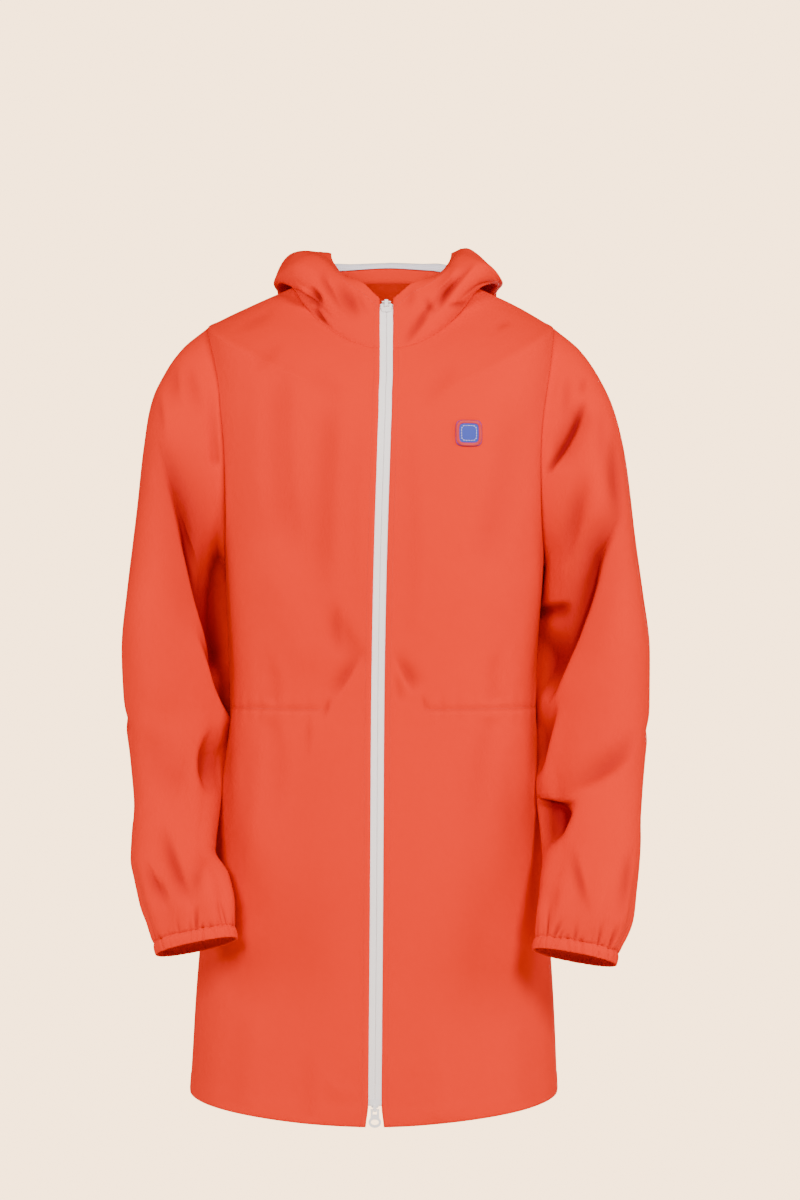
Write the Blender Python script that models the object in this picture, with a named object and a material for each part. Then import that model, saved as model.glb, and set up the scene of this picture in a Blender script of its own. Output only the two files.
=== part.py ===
"""Long hooded raincoat, worn form and hollow: fronts, back, set-in sleeves with gathered cuffs,
a hood lying down behind the neck, a two-way zip and a small sewn patch.

Units are metres.  +Z is up, the front faces -Y and the wearer's right is at -X.
The origin is the centre of the neck base, where a wearer holds the coat up.

The coat is one smooth surface, coat(angle, fall): `angle` runs round the body from 0 at the
centre front, and `fall` runs from the neck seam over the shoulders and down to the hem.
Every panel is a wall cut out of that surface, and the sleeves start on its armhole curves.
"""
import math

import bmesh
import bpy
import numpy as np

MM = 0.001

# ---------------------------------------------------------------- driving sizes
WALL = 1.5 * MM                # coated cloth with its turnings, as one wall
LINING = 1.0 * MM              # pale hood lining
LINING_GAP = 1.0 * MM          # it hangs loose inside the hood
SEAM_GAP = 0.3 * MM            # between two pieces that are sewn together
ZIP_HALF = 7.3 * MM            # centre line to the folded edge of a front
TAPE_HALF = 13.0 * MM          # centre line to the hidden edge of a zip tape
TAPE_THICK = 1.2 * MM
TAPE_TOP_CLIMB = 0.91          # the tapes stop short of the hood's rim
TAPE_END_FALL = 0.924          # and short of the hem
HEM_SPREAD = 2.2 * MM          # how far each front's corner stands off below the zip
CUFF_TALL = 13.5 * MM          # elastic casing
CUFF_GATHERS = 24              # round one cuff
CUFF_GATHER_DEEP = 1.1 * MM
SLEEVE_GATHERS = 9             # soft folds that rise from the cuff
SLEEVE_GATHER_DEEP = 2.6 * MM
SLEEVE_GATHER_START = 0.86     # how far down the sleeve they begin, as a share of its length
PATCH_SIZE = 28.0 * MM
PATCH_THICK = 1.2 * MM
PATCH_LIFT = 0.6 * MM          # the patch lies this far off the front
PATCH_X = 0.0903
PATCH_Z = -0.1644

QUARTER = math.pi / 2

# ---------------------------------------------------------------- the coat's rings
# One row for each level.  right and left are half widths from the leaning centre line,
# front and back are depths, round is the exponent of the ring's outline.
COAT_COLUMNS = ("fall", "lean", "right", "left", "front", "back", "round",
                "z_side", "z_front", "z_back")
COAT = (
    (0.000,  0.003, 0.101, 0.097, 0.095, 0.075, 2.0,  0.004, -0.072,  0.018),   # neck seam
    (0.045,  0.003, 0.146, 0.140, 0.108, 0.098, 2.1, -0.016, -0.100, -0.014),   # yoke
    (0.105,  0.002, 0.195, 0.185, 0.120, 0.118, 2.3, -0.042, -0.134, -0.065),   # shoulder tip
    (0.147,  0.001, 0.191, 0.187, 0.128, 0.126, 2.4, -0.083, -0.164, -0.105),   # upper chest
    (0.190,  0.000, 0.188, 0.184, 0.131, 0.130, 2.6, -0.125, -0.197, -0.150),   # shoulder blade
    (0.270, -0.002, 0.180, 0.183, 0.133, 0.130, 2.7, -0.205, -0.257, -0.230),   # chest
    (0.365, -0.004, 0.170, 0.179, 0.130, 0.124, 2.6, -0.300, -0.332, -0.318),   # underarm
    (0.520, -0.006, 0.163, 0.173, 0.123, 0.113, 2.4, -0.457, -0.457, -0.457),   # waist
    (0.700, -0.007, 0.187, 0.186, 0.132, 0.126, 2.3, -0.632, -0.637, -0.637),   # hip
    (0.945, -0.009, 0.204, 0.200, 0.143, 0.140, 2.3, -0.878, -0.895, -0.896),   # hem
)
DIP = 1.4                      # how a ring falls from its sides to its front and its back
SHOULDER_FALL = 0.105
UNDERARM_FALL = 0.365
WAIST_FALL = 0.520
HEM_FALL = 0.945
ARMHOLE_FRONT = math.radians(21.0)    # half angle of the armhole in front of the side seam
ARMHOLE_BACK = math.radians(24.0)

# ---------------------------------------------------------------- the sleeves' sections
# One row for each section, from the armhole to the cuff.  outer and inner are the two ends of
# the section as seen from the front, mid_y and deep are its middle and half depth, and pitch
# is how far its front edge stands above its middle.
SLEEVE_COLUMNS = ("along", "outer_x", "outer_z", "inner_x", "inner_z", "mid_y", "deep", "pitch")
SLEEVE_RIGHT = (
    (0.00, -0.1930, -0.0420, -0.1740, -0.3000,  0.000, 0.064, 0.000),   # armhole
    (0.05, -0.2211, -0.0650, -0.1768, -0.3020,  0.000, 0.069, 0.000),
    (0.11, -0.2398, -0.0900, -0.1775, -0.3070,  0.000, 0.072, 0.000),
    (0.18, -0.2552, -0.1240, -0.1772, -0.3150,  0.000, 0.074, 0.000),   # shoulder corner
    (0.26, -0.2640, -0.1738, -0.1756, -0.3260,  0.001, 0.074, 0.000),
    (0.34, -0.2706, -0.2266, -0.1743, -0.3390,  0.002, 0.072, 0.000),
    (0.42, -0.2772, -0.2794, -0.1735, -0.3550,  0.002, 0.070, 0.000),
    (0.50, -0.2827, -0.3322, -0.1724, -0.3800,  0.001, 0.067, 0.000),
    (0.58, -0.2871, -0.3982, -0.1713, -0.4158,  0.000, 0.064, 0.000),   # above the elbow
    (0.66, -0.2849, -0.4642, -0.1710, -0.4565, -0.002, 0.061, 0.002),   # elbow
    (0.73, -0.2780, -0.5162, -0.1760, -0.5100, -0.015, 0.056, 0.004),
    (0.80, -0.2714, -0.5670, -0.1815, -0.5610, -0.044, 0.050, 0.006),
    (0.87, -0.2708, -0.6165, -0.1850, -0.6080, -0.082, 0.045, 0.007),   # forearm
    (0.92, -0.2646, -0.6403, -0.1660, -0.6340, -0.098, 0.044, 0.008),
    (0.96, -0.2547, -0.6720, -0.1590, -0.6600, -0.109, 0.041, 0.009),   # blouse over the cuff
    (1.00, -0.2433, -0.7047, -0.1574, -0.6867, -0.117, 0.034, 0.009),   # cuff seam
)
SLEEVE_LEFT = (
    (0.00,  0.1870, -0.0420,  0.1750, -0.3000,  0.000, 0.064, 0.000),   # armhole
    (0.05,  0.2156, -0.0660,  0.1778, -0.3020,  0.000, 0.069, 0.000),
    (0.11,  0.2343, -0.0920,  0.1786, -0.3070,  0.000, 0.072, 0.000),
    (0.18,  0.2508, -0.1276,  0.1782, -0.3150,  0.000, 0.074, 0.000),   # shoulder corner
    (0.26,  0.2629, -0.1738,  0.1766, -0.3260,  0.001, 0.074, 0.000),
    (0.34,  0.2717, -0.2266,  0.1750, -0.3390,  0.002, 0.072, 0.000),
    (0.42,  0.2783, -0.2794,  0.1737, -0.3550,  0.002, 0.070, 0.000),
    (0.50,  0.2849, -0.3322,  0.1722, -0.3780,  0.001, 0.068, 0.000),
    (0.58,  0.2915, -0.3982,  0.1707, -0.4040,  0.000, 0.066, 0.000),   # above the elbow
    (0.66,  0.2915, -0.4642,  0.1690, -0.4565, -0.004, 0.063, 0.002),   # elbow
    (0.73,  0.2859, -0.5162,  0.1712, -0.5130, -0.018, 0.058, 0.004),
    (0.80,  0.2794, -0.5670,  0.1750, -0.5615, -0.046, 0.051, 0.006),
    (0.87,  0.2748, -0.6165,  0.1785, -0.6100, -0.080, 0.046, 0.007),   # forearm
    (0.92,  0.2699, -0.6450,  0.1700, -0.6420, -0.098, 0.044, 0.008),
    (0.96,  0.2630, -0.6820,  0.1640, -0.6700, -0.109, 0.041, 0.009),   # blouse over the cuff
    (1.00,  0.2488, -0.7154,  0.1608, -0.6984, -0.117, 0.034, 0.009),   # cuff seam
)
SLEEVE_ROUND = 2.2             # exponent of a section's outline
ARMHOLE_FADE = 0.20            # share of the sleeve that takes up the armhole's own shape

# ---------------------------------------------------------------- the hood's profiles
# One row for each angle round the neck.  Each pair is a distance from the neck's axis and a
# height: where the cloth stands up from the seam, the layer next to the coat, the lowest
# fold and its outer side, the outer layer and the rim of the face opening.
HOOD_KNOTS = ("stand", "near", "low", "side", "out", "rim")
HOOD_COLUMNS = ("degrees", "stand_r", "stand_z", "near_r", "near_z", "low_r", "low_z",
                "side_r", "side_z", "out_r", "out_z", "rim_r", "rim_z")
HOOD = (
    (0,   0.0928, -0.062, 0.0910, -0.0535, 0.0890, -0.046,
     0.0868, -0.038, 0.0838, -0.0295, 0.0805, -0.0205),
    (20,  0.0955, -0.053, 0.0945, -0.041, 0.0925, -0.030, 0.0900, -0.019, 0.0860, -0.009, 0.080, 0.000),
    (40,  0.0990, -0.036, 0.1005, -0.021, 0.0995, -0.008, 0.0960,  0.002, 0.0880, 0.0095, 0.076, 0.010),
    (65,  0.1040, -0.008, 0.1110,  0.001, 0.1150,  0.012, 0.1110,  0.025, 0.0930,  0.035, 0.068, 0.026),
    (90,  0.1080,  0.008, 0.1160,  0.007, 0.1225,  0.007, 0.1255,  0.016, 0.1060,  0.042, 0.066, 0.040),
    (115, 0.1030,  0.022, 0.1190,  0.013, 0.1310,  0.001, 0.1405,  0.010, 0.1270,  0.038, 0.093, 0.044),
    (145, 0.0940,  0.034, 0.1290, -0.010, 0.1620, -0.098, 0.1780, -0.086, 0.1800, -0.030, 0.140, 0.042),
    (180, 0.0910,  0.034, 0.1210, -0.050, 0.1480, -0.168, 0.1680, -0.160, 0.1880, -0.070, 0.162, 0.034),
)
HOOD_RIM_LEAN = 0.008          # the rim leans this far to the wearer's left
# What differs on the wearer's left, where the outer layer is drawn in over the lowest fold.
HOOD_LEFT_COLUMNS = ("degrees", "low_r", "low_z", "side_r", "side_z", "out_r", "out_z")
HOOD_LEFT = (
    (40,   0.000,  0.000,  0.000,  0.000,  0.000,  0.000),
    (65,   0.000,  0.000,  0.000,  0.000, -0.008,  0.001),
    (90,  -0.002,  0.000, -0.004, -0.003, -0.018,  0.003),
    (115, -0.007,  0.000, -0.009, -0.003, -0.026,  0.002),
    (145,  0.000,  0.000,  0.000,  0.000,  0.000,  0.000),
)
CENTRE_RADIUS = 0.07           # of the neck seam where the hood's centre panel starts
PATCH_POINTS = 16
PATCH_ROUND = 4.5              # exponent of the patch's outline

# ---------------------------------------------------------------- the largest folds
# One row for each fold, seen from the front or the back: three points of its line, the half
# width and the height of the cloth there (below zero for a trough).
FOLD_COLUMNS = ("side", "x0", "z0", "x1", "z1", "x2", "z2", "wide", "high")
COAT_FOLDS = (
    ("front", -0.121, -0.095, -0.121, -0.180, -0.120, -0.260, 0.020,  0.004),
    ("front", -0.100, -0.075, -0.098, -0.170, -0.100, -0.275, 0.018, -0.004),
    ("front", -0.060, -0.130, -0.060, -0.250, -0.052, -0.370, 0.022, -0.003),
    ("front", -0.120, -0.270, -0.095, -0.360, -0.058, -0.430, 0.024,  0.004),
    ("front",  0.134, -0.195,  0.112, -0.283,  0.085, -0.353, 0.022, -0.004),
    ("front", -0.075, -0.470, -0.085, -0.640, -0.078, -0.850, 0.034, -0.004),
    ("front",  0.100, -0.480,  0.110, -0.660,  0.098, -0.850, 0.036, -0.004),
    ("back",  -0.070, -0.200, -0.050, -0.330, -0.060, -0.440, 0.030, -0.005),
    ("back",   0.080, -0.180,  0.066, -0.310,  0.050, -0.440, 0.030, -0.005),
    ("back",  -0.090, -0.480, -0.100, -0.660, -0.105, -0.860, 0.036, -0.006),
    ("back",   0.020, -0.480,  0.014, -0.660,  0.020, -0.860, 0.036,  0.005),
    ("back",   0.105, -0.490,  0.112, -0.660,  0.110, -0.860, 0.034, -0.006),
)
SLEEVE_RIGHT_FOLDS = (
    ("front", -0.252, -0.130, -0.221, -0.289, -0.195, -0.400, 0.020, -0.006),
    ("front", -0.275, -0.300, -0.255, -0.400, -0.225, -0.470, 0.024,  0.004),
    ("front", -0.272, -0.470, -0.235, -0.520, -0.200, -0.535, 0.020, -0.005),
    ("back",  -0.270, -0.200, -0.240, -0.300, -0.205, -0.380, 0.024, -0.006),
    ("back",  -0.200, -0.440, -0.240, -0.470, -0.275, -0.480, 0.018, -0.006),
)
SLEEVE_LEFT_FOLDS = (
    ("front",  0.219, -0.125,  0.200, -0.160,  0.182, -0.200, 0.014, -0.006),
    ("front",  0.264, -0.249,  0.226, -0.344,  0.182, -0.435, 0.022, -0.006),
    ("front",  0.275, -0.483,  0.232, -0.530,  0.185, -0.554, 0.020,  0.005),
    ("back",   0.268, -0.210,  0.235, -0.310,  0.200, -0.390, 0.024, -0.006),
    ("back",   0.198, -0.450,  0.240, -0.480,  0.278, -0.490, 0.018, -0.006),
)

# ---------------------------------------------------------------- the grids
NECK_ROWS = 3                  # rows of a panel from the neck seam to the shoulder tip
ARMHOLE_ROWS = 18              # rows beside the armhole
CHEST_ROWS = 3                 # rows from the underarm to the waist
SKIRT_ROWS = 6                 # rows from the waist to the end of the zip; one more to the hem
FRONT_COLUMNS = 8
BACK_COLUMNS = 16
SLEEVE_POINTS = 2 * ARMHOLE_ROWS     # round a sleeve, so that it meets the panels' points
SLEEVE_ROWS = 18
ELBOW_ROW = 12                 # a sleeve is one cloth, made as two solids that meet at this row
SLEEVE_LENGTH = 0.69           # from the armhole to the cuff seam, down the sleeve
CUFF_POINTS = 4 * CUFF_GATHERS
CUFF_ROWS = 1
HOOD_BACK_COLUMNS = 5          # of a hood side, behind the shoulder seam
CENTRE_PANEL = QUARTER + HOOD_BACK_COLUMNS * math.pi / BACK_COLUMNS   # its edge, as an angle
HOOD_LEVELS = (0.0, 0.085, 0.17, 0.25, 0.33, 0.41, 0.48, 0.54, 0.6, 0.66, 0.74, 0.82, 0.9, 1.0)

# ---------------------------------------------------------------- the zip's hard pieces
# Measured from the end of the tapes: across (x), out from the tape's face, and past its end.
SLIDER_CLEAR = 0.4 * MM        # round everything that a slider or a pull passes
FACE_CLEAR = 1.0 * MM          # from a slider's plates to the tapes, which bow across
PLATE_THICK = 1.0 * MM
PLATE_TALL = 9.5 * MM
PLATE_CORNER = 1.2 * MM
SET_BACK = 0.3 * MM            # how far a joined bar ends inside the plate that it meets
POST_TALL = 1.8 * MM           # the post that joins the two plates past the tapes' end
POST_HALF = 1.5 * MM
LOWER_HALVES = (5.8 * MM, 3.9 * MM)  # half widths of the lower slider, far from and at its post
UPPER_HALVES = (5.0 * MM, 6.4 * MM)
ARCH_HALF = 1.8 * MM           # the arch that holds the pull, half width
ARCH_BAR = 1.0 * MM
ARCH_FOOT = 4.0 * MM           # how far down the front plate the arch starts
PULL_THICK = 1.2 * MM
PULL_HALF = 4.7 * MM           # half width at the hinge
PULL_WAIST = 4.4 * MM
PULL_REACH = 13.1 * MM         # from the hinge to the ring's middle
RING_HALVES = (6.6 * MM, 5.8 * MM)
RING_HOLE_HALVES = (4.2 * MM, 2.9 * MM)
RING_MOUTH = math.radians(135) # the ring's arc ends here, each way, where the neck meets it
EYE_HALF = 2.2 * MM            # the eye round the arch
EYE_END = 5.0 * MM
HINGE_PAST = 1.6 * MM          # from the slider's end to the hinge
STEP = 1e-4                    # step of the slopes that give a surface's normals


# ================================================================ tables and curves
def read(table, columns, name, at, level_ends=False):
    """A column of a table as a smooth curve over its first column.  It never overshoots."""
    xs = np.array([row[0] for row in table], float)
    ys = np.array([row[columns.index(name)] for row in table], float)
    width = np.diff(xs)
    slope = np.diff(ys) / width
    tangent = np.zeros(len(xs))
    if not level_ends:
        tangent[0], tangent[-1] = slope[0], slope[-1]
    same_way = slope[:-1] * slope[1:] > 0
    total = np.where(same_way, slope[:-1] + slope[1:], 1.0)
    tangent[1:-1] = np.where(same_way, 2 * slope[:-1] * slope[1:] / total, 0.0)
    i = np.clip(np.searchsorted(xs, at, side="right") - 1, 0, len(xs) - 2)
    t = (at - xs[i]) / width[i]
    return ((2 * t**3 - 3 * t**2 + 1) * ys[i] + (t**3 - 2 * t**2 + t) * width[i] * tangent[i]
            + (3 * t**2 - 2 * t**3) * ys[i + 1] + (t**3 - t**2) * width[i] * tangent[i + 1])


def through(knots, at):
    """A smooth curve through a list of knots (arrays of one shape), `at` from 0 to 1."""
    knots = np.stack([2 * knots[0] - knots[1], *knots, 2 * knots[-1] - knots[-2]])
    spans = len(knots) - 3
    place = at * spans
    i = np.clip(np.floor(place).astype(int), 0, spans - 1)
    t = place - i
    k0, k1, k2, k3 = (np.take_along_axis(knots, (i + j)[None], 0)[0] for j in range(4))
    return 0.5 * (2 * k1 + (k2 - k0) * t + (2 * k0 - 5 * k1 + 4 * k2 - k3) * t**2
                  + (3 * k1 - k0 - 3 * k2 + k3) * t**3)


def ease(value):
    """0 to 1 with level ends."""
    value = np.clip(value, 0.0, 1.0)
    return value * value * (3 - 2 * value)


def points(x, y, z):
    return np.stack(np.broadcast_arrays(x, y, z), axis=-1)


def normals(surface, a, b):
    """Unit normals of surface(a, b) from its slopes."""
    along_a = surface(a + STEP, b) - surface(a - STEP, b)
    along_b = surface(a, b + STEP) - surface(a, b - STEP)
    normal = np.cross(along_a, along_b)
    return normal / np.linalg.norm(normal, axis=-1, keepdims=True)


def fold_height(folds, side, x, z):
    """How far the folds on one side move the cloth out at x, z in the front view."""
    height = np.zeros(np.broadcast(x, z).shape)
    for row in folds:
        fold = dict(zip(FOLD_COLUMNS, row))
        if fold["side"] != side:
            continue
        line = ((fold["x0"], fold["z0"]), (fold["x1"], fold["z1"]), (fold["x2"], fold["z2"]))
        nearest = np.full(height.shape, np.inf)
        for (xa, za), (xb, zb) in zip(line, line[1:]):
            length2 = (xb - xa) ** 2 + (zb - za) ** 2
            t = np.clip(((x - xa) * (xb - xa) + (z - za) * (zb - za)) / length2, 0, 1)
            nearest = np.minimum(nearest, np.hypot(x - xa - t * (xb - xa), z - za - t * (zb - za)))
        height += fold["high"] * np.exp(-(nearest / fold["wide"]) ** 2)
    return height


# ================================================================ the coat's surface
def ring_radius(angle, fall):
    """Distance from the leaning centre line to the cloth at an angle of one ring."""
    wide = np.where(np.sin(angle) > 0, read(COAT, COAT_COLUMNS, "left", fall),
                    read(COAT, COAT_COLUMNS, "right", fall))
    deep = np.where(np.cos(angle) > 0, read(COAT, COAT_COLUMNS, "front", fall),
                    read(COAT, COAT_COLUMNS, "back", fall))
    power = read(COAT, COAT_COLUMNS, "round", fall)
    across = np.abs(np.sin(angle) / wide) ** power
    return (across + np.abs(np.cos(angle) / deep) ** power) ** (-1 / power)


def coat_form(angle, fall):
    """The coat without its folds."""
    radius = ring_radius(angle, fall)
    z_side = read(COAT, COAT_COLUMNS, "z_side", fall)
    z_front = read(COAT, COAT_COLUMNS, "z_front", fall)
    z_back = read(COAT, COAT_COLUMNS, "z_back", fall)
    to_front = np.maximum(np.cos(angle), 0) ** DIP
    to_back = np.maximum(-np.cos(angle), 0) ** DIP
    z = z_side + to_front * (z_front - z_side) + to_back * (z_back - z_side)
    lean = read(COAT, COAT_COLUMNS, "lean", fall)
    return points(lean + radius * np.sin(angle), -radius * np.cos(angle), z)


def coat(angle, fall):
    """The coat with its folds.  Its normals point out of the body."""
    form = coat_form(angle, fall)
    x, z = form[..., 0], form[..., 2]
    facing = np.cos(angle)
    height = (fold_height(COAT_FOLDS, "front", x, z) * ease(facing * 3)
              + fold_height(COAT_FOLDS, "back", x, z) * ease(-facing * 3))
    outward = -normals(coat_form, angle, fall)
    return form + outward * height[..., None]


def zip_angle(fall):
    """The angle at which a front's folded edge runs beside the zip, spread at the hem."""
    spread = HEM_SPREAD * ease((fall - TAPE_END_FALL) / (HEM_FALL - TAPE_END_FALL))
    return np.arcsin((ZIP_HALF + spread) / read(COAT, COAT_COLUMNS, "front", fall))


def seam_angle(fall):
    """Half of the seam gap at the side of the coat, as an angle."""
    return 0.5 * SEAM_GAP / read(COAT, COAT_COLUMNS, "right", fall)


def panel_rows():
    """The falls of a panel's rows, and how far the armhole cuts into each, from 0 to 1."""
    middle = 0.5 * (SHOULDER_FALL + UNDERARM_FALL)
    half = 0.5 * (UNDERARM_FALL - SHOULDER_FALL)
    turn = np.linspace(0, math.pi, ARMHOLE_ROWS + 1)
    neck = np.linspace(0, SHOULDER_FALL, NECK_ROWS + 1)[:-1]
    chest = np.linspace(UNDERARM_FALL, WAIST_FALL, CHEST_ROWS + 1)[1:]
    skirt = np.linspace(WAIST_FALL, TAPE_END_FALL, SKIRT_ROWS + 1)[1:]
    falls = np.concatenate([neck, middle - half * np.cos(turn), chest, skirt, [HEM_FALL]])
    cut = np.concatenate([0 * neck, np.sin(turn), 0 * chest, 0 * skirt, [0.0]])
    return falls, cut


def armhole(side, turn):
    """The sleeve's starting curve on the coat, a seam gap inside the armhole.

    turn is 0 at the shoulder tip, a quarter at the front and a half at the underarm.
    side is +1 for the wearer's left and -1 for the right.
    """
    middle = 0.5 * (SHOULDER_FALL + UNDERARM_FALL)
    half = 0.5 * (UNDERARM_FALL - SHOULDER_FALL) - SEAM_GAP
    reach = np.where(np.sin(turn) > 0, ARMHOLE_FRONT, -ARMHOLE_BACK)
    trim = np.sign(reach) * SEAM_GAP / 0.17
    angle = side * (QUARTER - (reach - trim) * np.abs(np.sin(turn)))
    return angle, middle - half * np.cos(turn)


# ================================================================ the sleeves' surface
def sleeve_form(table, turn, along):
    """One sleeve without folds: its sections, drawn on to the armhole at the top."""
    value = {name: read(table, SLEEVE_COLUMNS, name, along) for name in SLEEVE_COLUMNS[1:]}
    across, forward = np.cos(turn), np.sin(turn)
    power = SLEEVE_ROUND
    swell = (np.abs(across) ** power + np.abs(forward) ** power) ** (-1 / power)
    across, forward = across * swell, forward * swell
    x = 0.5 * (value["outer_x"] + value["inner_x"] + across * (value["outer_x"] - value["inner_x"]))
    z = 0.5 * (value["outer_z"] + value["inner_z"] + across * (value["outer_z"] - value["inner_z"]))
    return points(x, value["mid_y"] - forward * value["deep"], z + forward * value["pitch"])


def sleeve_surface(table, folds, side):
    """A function of (turn, along) for one sleeve.  Its normals point out of the sleeve."""
    def with_armhole(turn, along):
        form = sleeve_form(table, turn, along)
        start = sleeve_form(table, turn, 0 * along)
        pull = (1 - ease(along / ARMHOLE_FADE))[..., None]
        return form + pull * (coat(*armhole(side, turn)) - start)

    def surface(turn, along):
        form = with_armhole(turn, along)
        facing = np.sin(turn)
        free = ease((along - 0.03) / 0.12) * ease((0.97 - along) / 0.05)
        height = free * (fold_height(folds, "front", form[..., 0], form[..., 2]) * ease(facing * 3)
                         + fold_height(folds, "back", form[..., 0], form[..., 2]) * ease(-facing * 3))
        rise = ease((along - SLEEVE_GATHER_START) / (1 - SLEEVE_GATHER_START))
        settle = 1 - 0.6 * ease((along - 0.95) / 0.05)
        height = height + rise * settle * SLEEVE_GATHER_DEEP * np.cos(SLEEVE_GATHERS * turn)
        outward = side * normals(with_armhole, turn, along)
        return form + outward * height[..., None]
    return surface


def cuff_surface(table, side):
    """A function of (turn, drop) for one cuff's casing, drop in metres below the cuff seam."""
    def surface(turn, drop):
        ring = sleeve_form(table, turn, 1.0 + 0 * turn)
        middle = sleeve_form(table, np.array([0.0, math.pi]), np.array([1.0, 1.0])).mean(0)
        outer, front, inner = sleeve_form(table, np.arange(3) * QUARTER, np.ones(3))
        down = side * np.cross(inner - outer, middle - front)
        down = down / np.linalg.norm(down)
        spread = ring - middle
        spread = spread / np.linalg.norm(spread, axis=-1, keepdims=True)
        wave = CUFF_GATHER_DEEP * np.cos(CUFF_GATHERS * turn)
        return ring + down * drop[..., None] + spread * wave[..., None]
    return surface


# ================================================================ the hood's surface
def hood(angle, climb):
    """The hood, climb from 0 at the neck seam to 1 at the rim of the face opening."""
    degrees = np.degrees(math.pi - np.abs(math.pi - np.abs(angle)))
    seam = coat_form(angle, np.zeros_like(angle))
    lean = COAT[0][1]
    radii = [np.hypot(seam[..., 0] - lean, seam[..., 1])]
    heights = [seam[..., 2] + SEAM_GAP]
    on_left = (np.sin(angle) > 0) & (degrees > HOOD_LEFT[0][0]) & (degrees < HOOD_LEFT[-1][0])
    for knot in HOOD_KNOTS:
        for values, name in ((radii, knot + "_r"), (heights, knot + "_z")):
            value = read(HOOD, HOOD_COLUMNS, name, degrees, True)
            if name in HOOD_LEFT_COLUMNS:
                change = read(HOOD_LEFT, HOOD_LEFT_COLUMNS, name, degrees, True)
                value = value + np.where(on_left, change, 0.0)
            values.append(value)
    radius, z = through(radii, climb), through(heights, climb)
    middle = lean + (HOOD_RIM_LEAN - lean) * ease(climb) * ease(degrees / 60)
    return points(middle + radius * np.sin(angle), -radius * np.cos(angle), z)


def hood_zip_angle(climb):
    """The angle at which the hood's front edge runs beside the zip."""
    radii = [np.full_like(climb, COAT[0][4])]
    radii += [np.full_like(climb, HOOD[0][HOOD_COLUMNS.index(knot + "_r")]) for knot in HOOD_KNOTS]
    return np.arcsin(ZIP_HALF / through(radii, climb))


# ================================================================ making solids
def material(name, colour, roughness, metallic=0.0):
    made = bpy.data.materials.get(name)
    if made is None:
        made = bpy.data.materials.new(name)
        made.use_nodes = True
        shader = made.node_tree.nodes["Principled BSDF"]
        shader.inputs["Base Color"].default_value = (*colour, 1.0)
        shader.inputs["Roughness"].default_value = roughness
        shader.inputs["Metallic"].default_value = metallic
    return made


def orange_cloth():
    return material("orange coated cloth", (0.95, 0.12, 0.03), 0.6)


def white_tape():
    return material("white zip tape", (0.86, 0.85, 0.86), 0.7)


def pale_lining():
    return material("pale lining mesh", (0.80, 0.78, 0.86), 0.85)


def blue_twill():
    return material("blue twill patch", (0.10, 0.17, 0.65), 0.75)


def white_enamel():
    return material("white enamelled metal", (0.85, 0.85, 0.86), 0.35, 0.2)


def add_object(name, bm, finish, smooth_degrees=40):
    if bm.calc_volume(signed=True) < 0:
        bmesh.ops.reverse_faces(bm, faces=bm.faces)
    mesh = bpy.data.meshes.new(name)
    bm.to_mesh(mesh)
    bm.free()
    mesh.materials.append(finish)
    mesh.shade_smooth()
    mesh.set_sharp_from_angle(angle=math.radians(smooth_degrees))
    made = bpy.data.objects.new(name, mesh)
    bpy.context.scene.collection.objects.link(made)
    return made


def wall_solid(name, outer, inner, finish, closed=False):
    """A wall between two grids of points.  A closed grid's last column meets its first.

    Both skins split their squares along the same diagonal, so that layers never touch.
    """
    rows, columns = outer.shape[:2]
    bm = bmesh.new()
    skins = []
    for grid in (outer, inner):
        skins.append([[bm.verts.new(grid[r, c]) for c in range(columns)] for r in range(rows)])
    out, ins = skins
    spans = columns if closed else columns - 1
    for r in range(rows - 1):
        for c in range(spans):
            d = (c + 1) % columns
            for skin, way in ((out, 1), (ins, -1)):
                bm.faces.new((skin[r][c], skin[r][d], skin[r + 1][d])[::way])
                bm.faces.new((skin[r][c], skin[r + 1][d], skin[r + 1][c])[::way])
    for c in range(spans):
        d = (c + 1) % columns
        bm.faces.new((out[0][d], out[0][c], ins[0][c], ins[0][d]))
        bm.faces.new((out[-1][c], out[-1][d], ins[-1][d], ins[-1][c]))
    if not closed:
        for r in range(rows - 1):
            bm.faces.new((out[r][0], out[r + 1][0], ins[r + 1][0], ins[r][0]))
            bm.faces.new((out[r + 1][-1], out[r][-1], ins[r][-1], ins[r + 1][-1]))
    return add_object(name, bm, finish)


# ================================================================ the pieces
def front_grid(side):
    """Points and outward normals of a front, from the zip to the side."""
    falls, cut = panel_rows()
    start = zip_angle(falls)[:, None]
    end = (QUARTER - np.maximum(ARMHOLE_FRONT * cut, seam_angle(falls)))[:, None]
    angle = side * (start + np.linspace(0, 1, FRONT_COLUMNS + 1) * (end - start))
    fall = np.broadcast_to(falls[:, None], angle.shape)
    return coat(angle, fall), -normals(coat, angle, fall)


def back_grid():
    falls, cut = panel_rows()
    start = (QUARTER + np.maximum(ARMHOLE_BACK * cut, seam_angle(falls)))[:, None]
    angle = start + np.linspace(0, 1, BACK_COLUMNS + 1) * 2 * (math.pi - start)
    fall = np.broadcast_to(falls[:, None], angle.shape)
    return coat(angle, fall), -normals(coat, angle, fall)


def make_body():
    grids = {"front_right": front_grid(-1), "front_left": front_grid(1), "back": back_grid()}
    for name, (base, outward) in grids.items():
        wall_solid(name, base, base - outward * WALL, orange_cloth())


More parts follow.
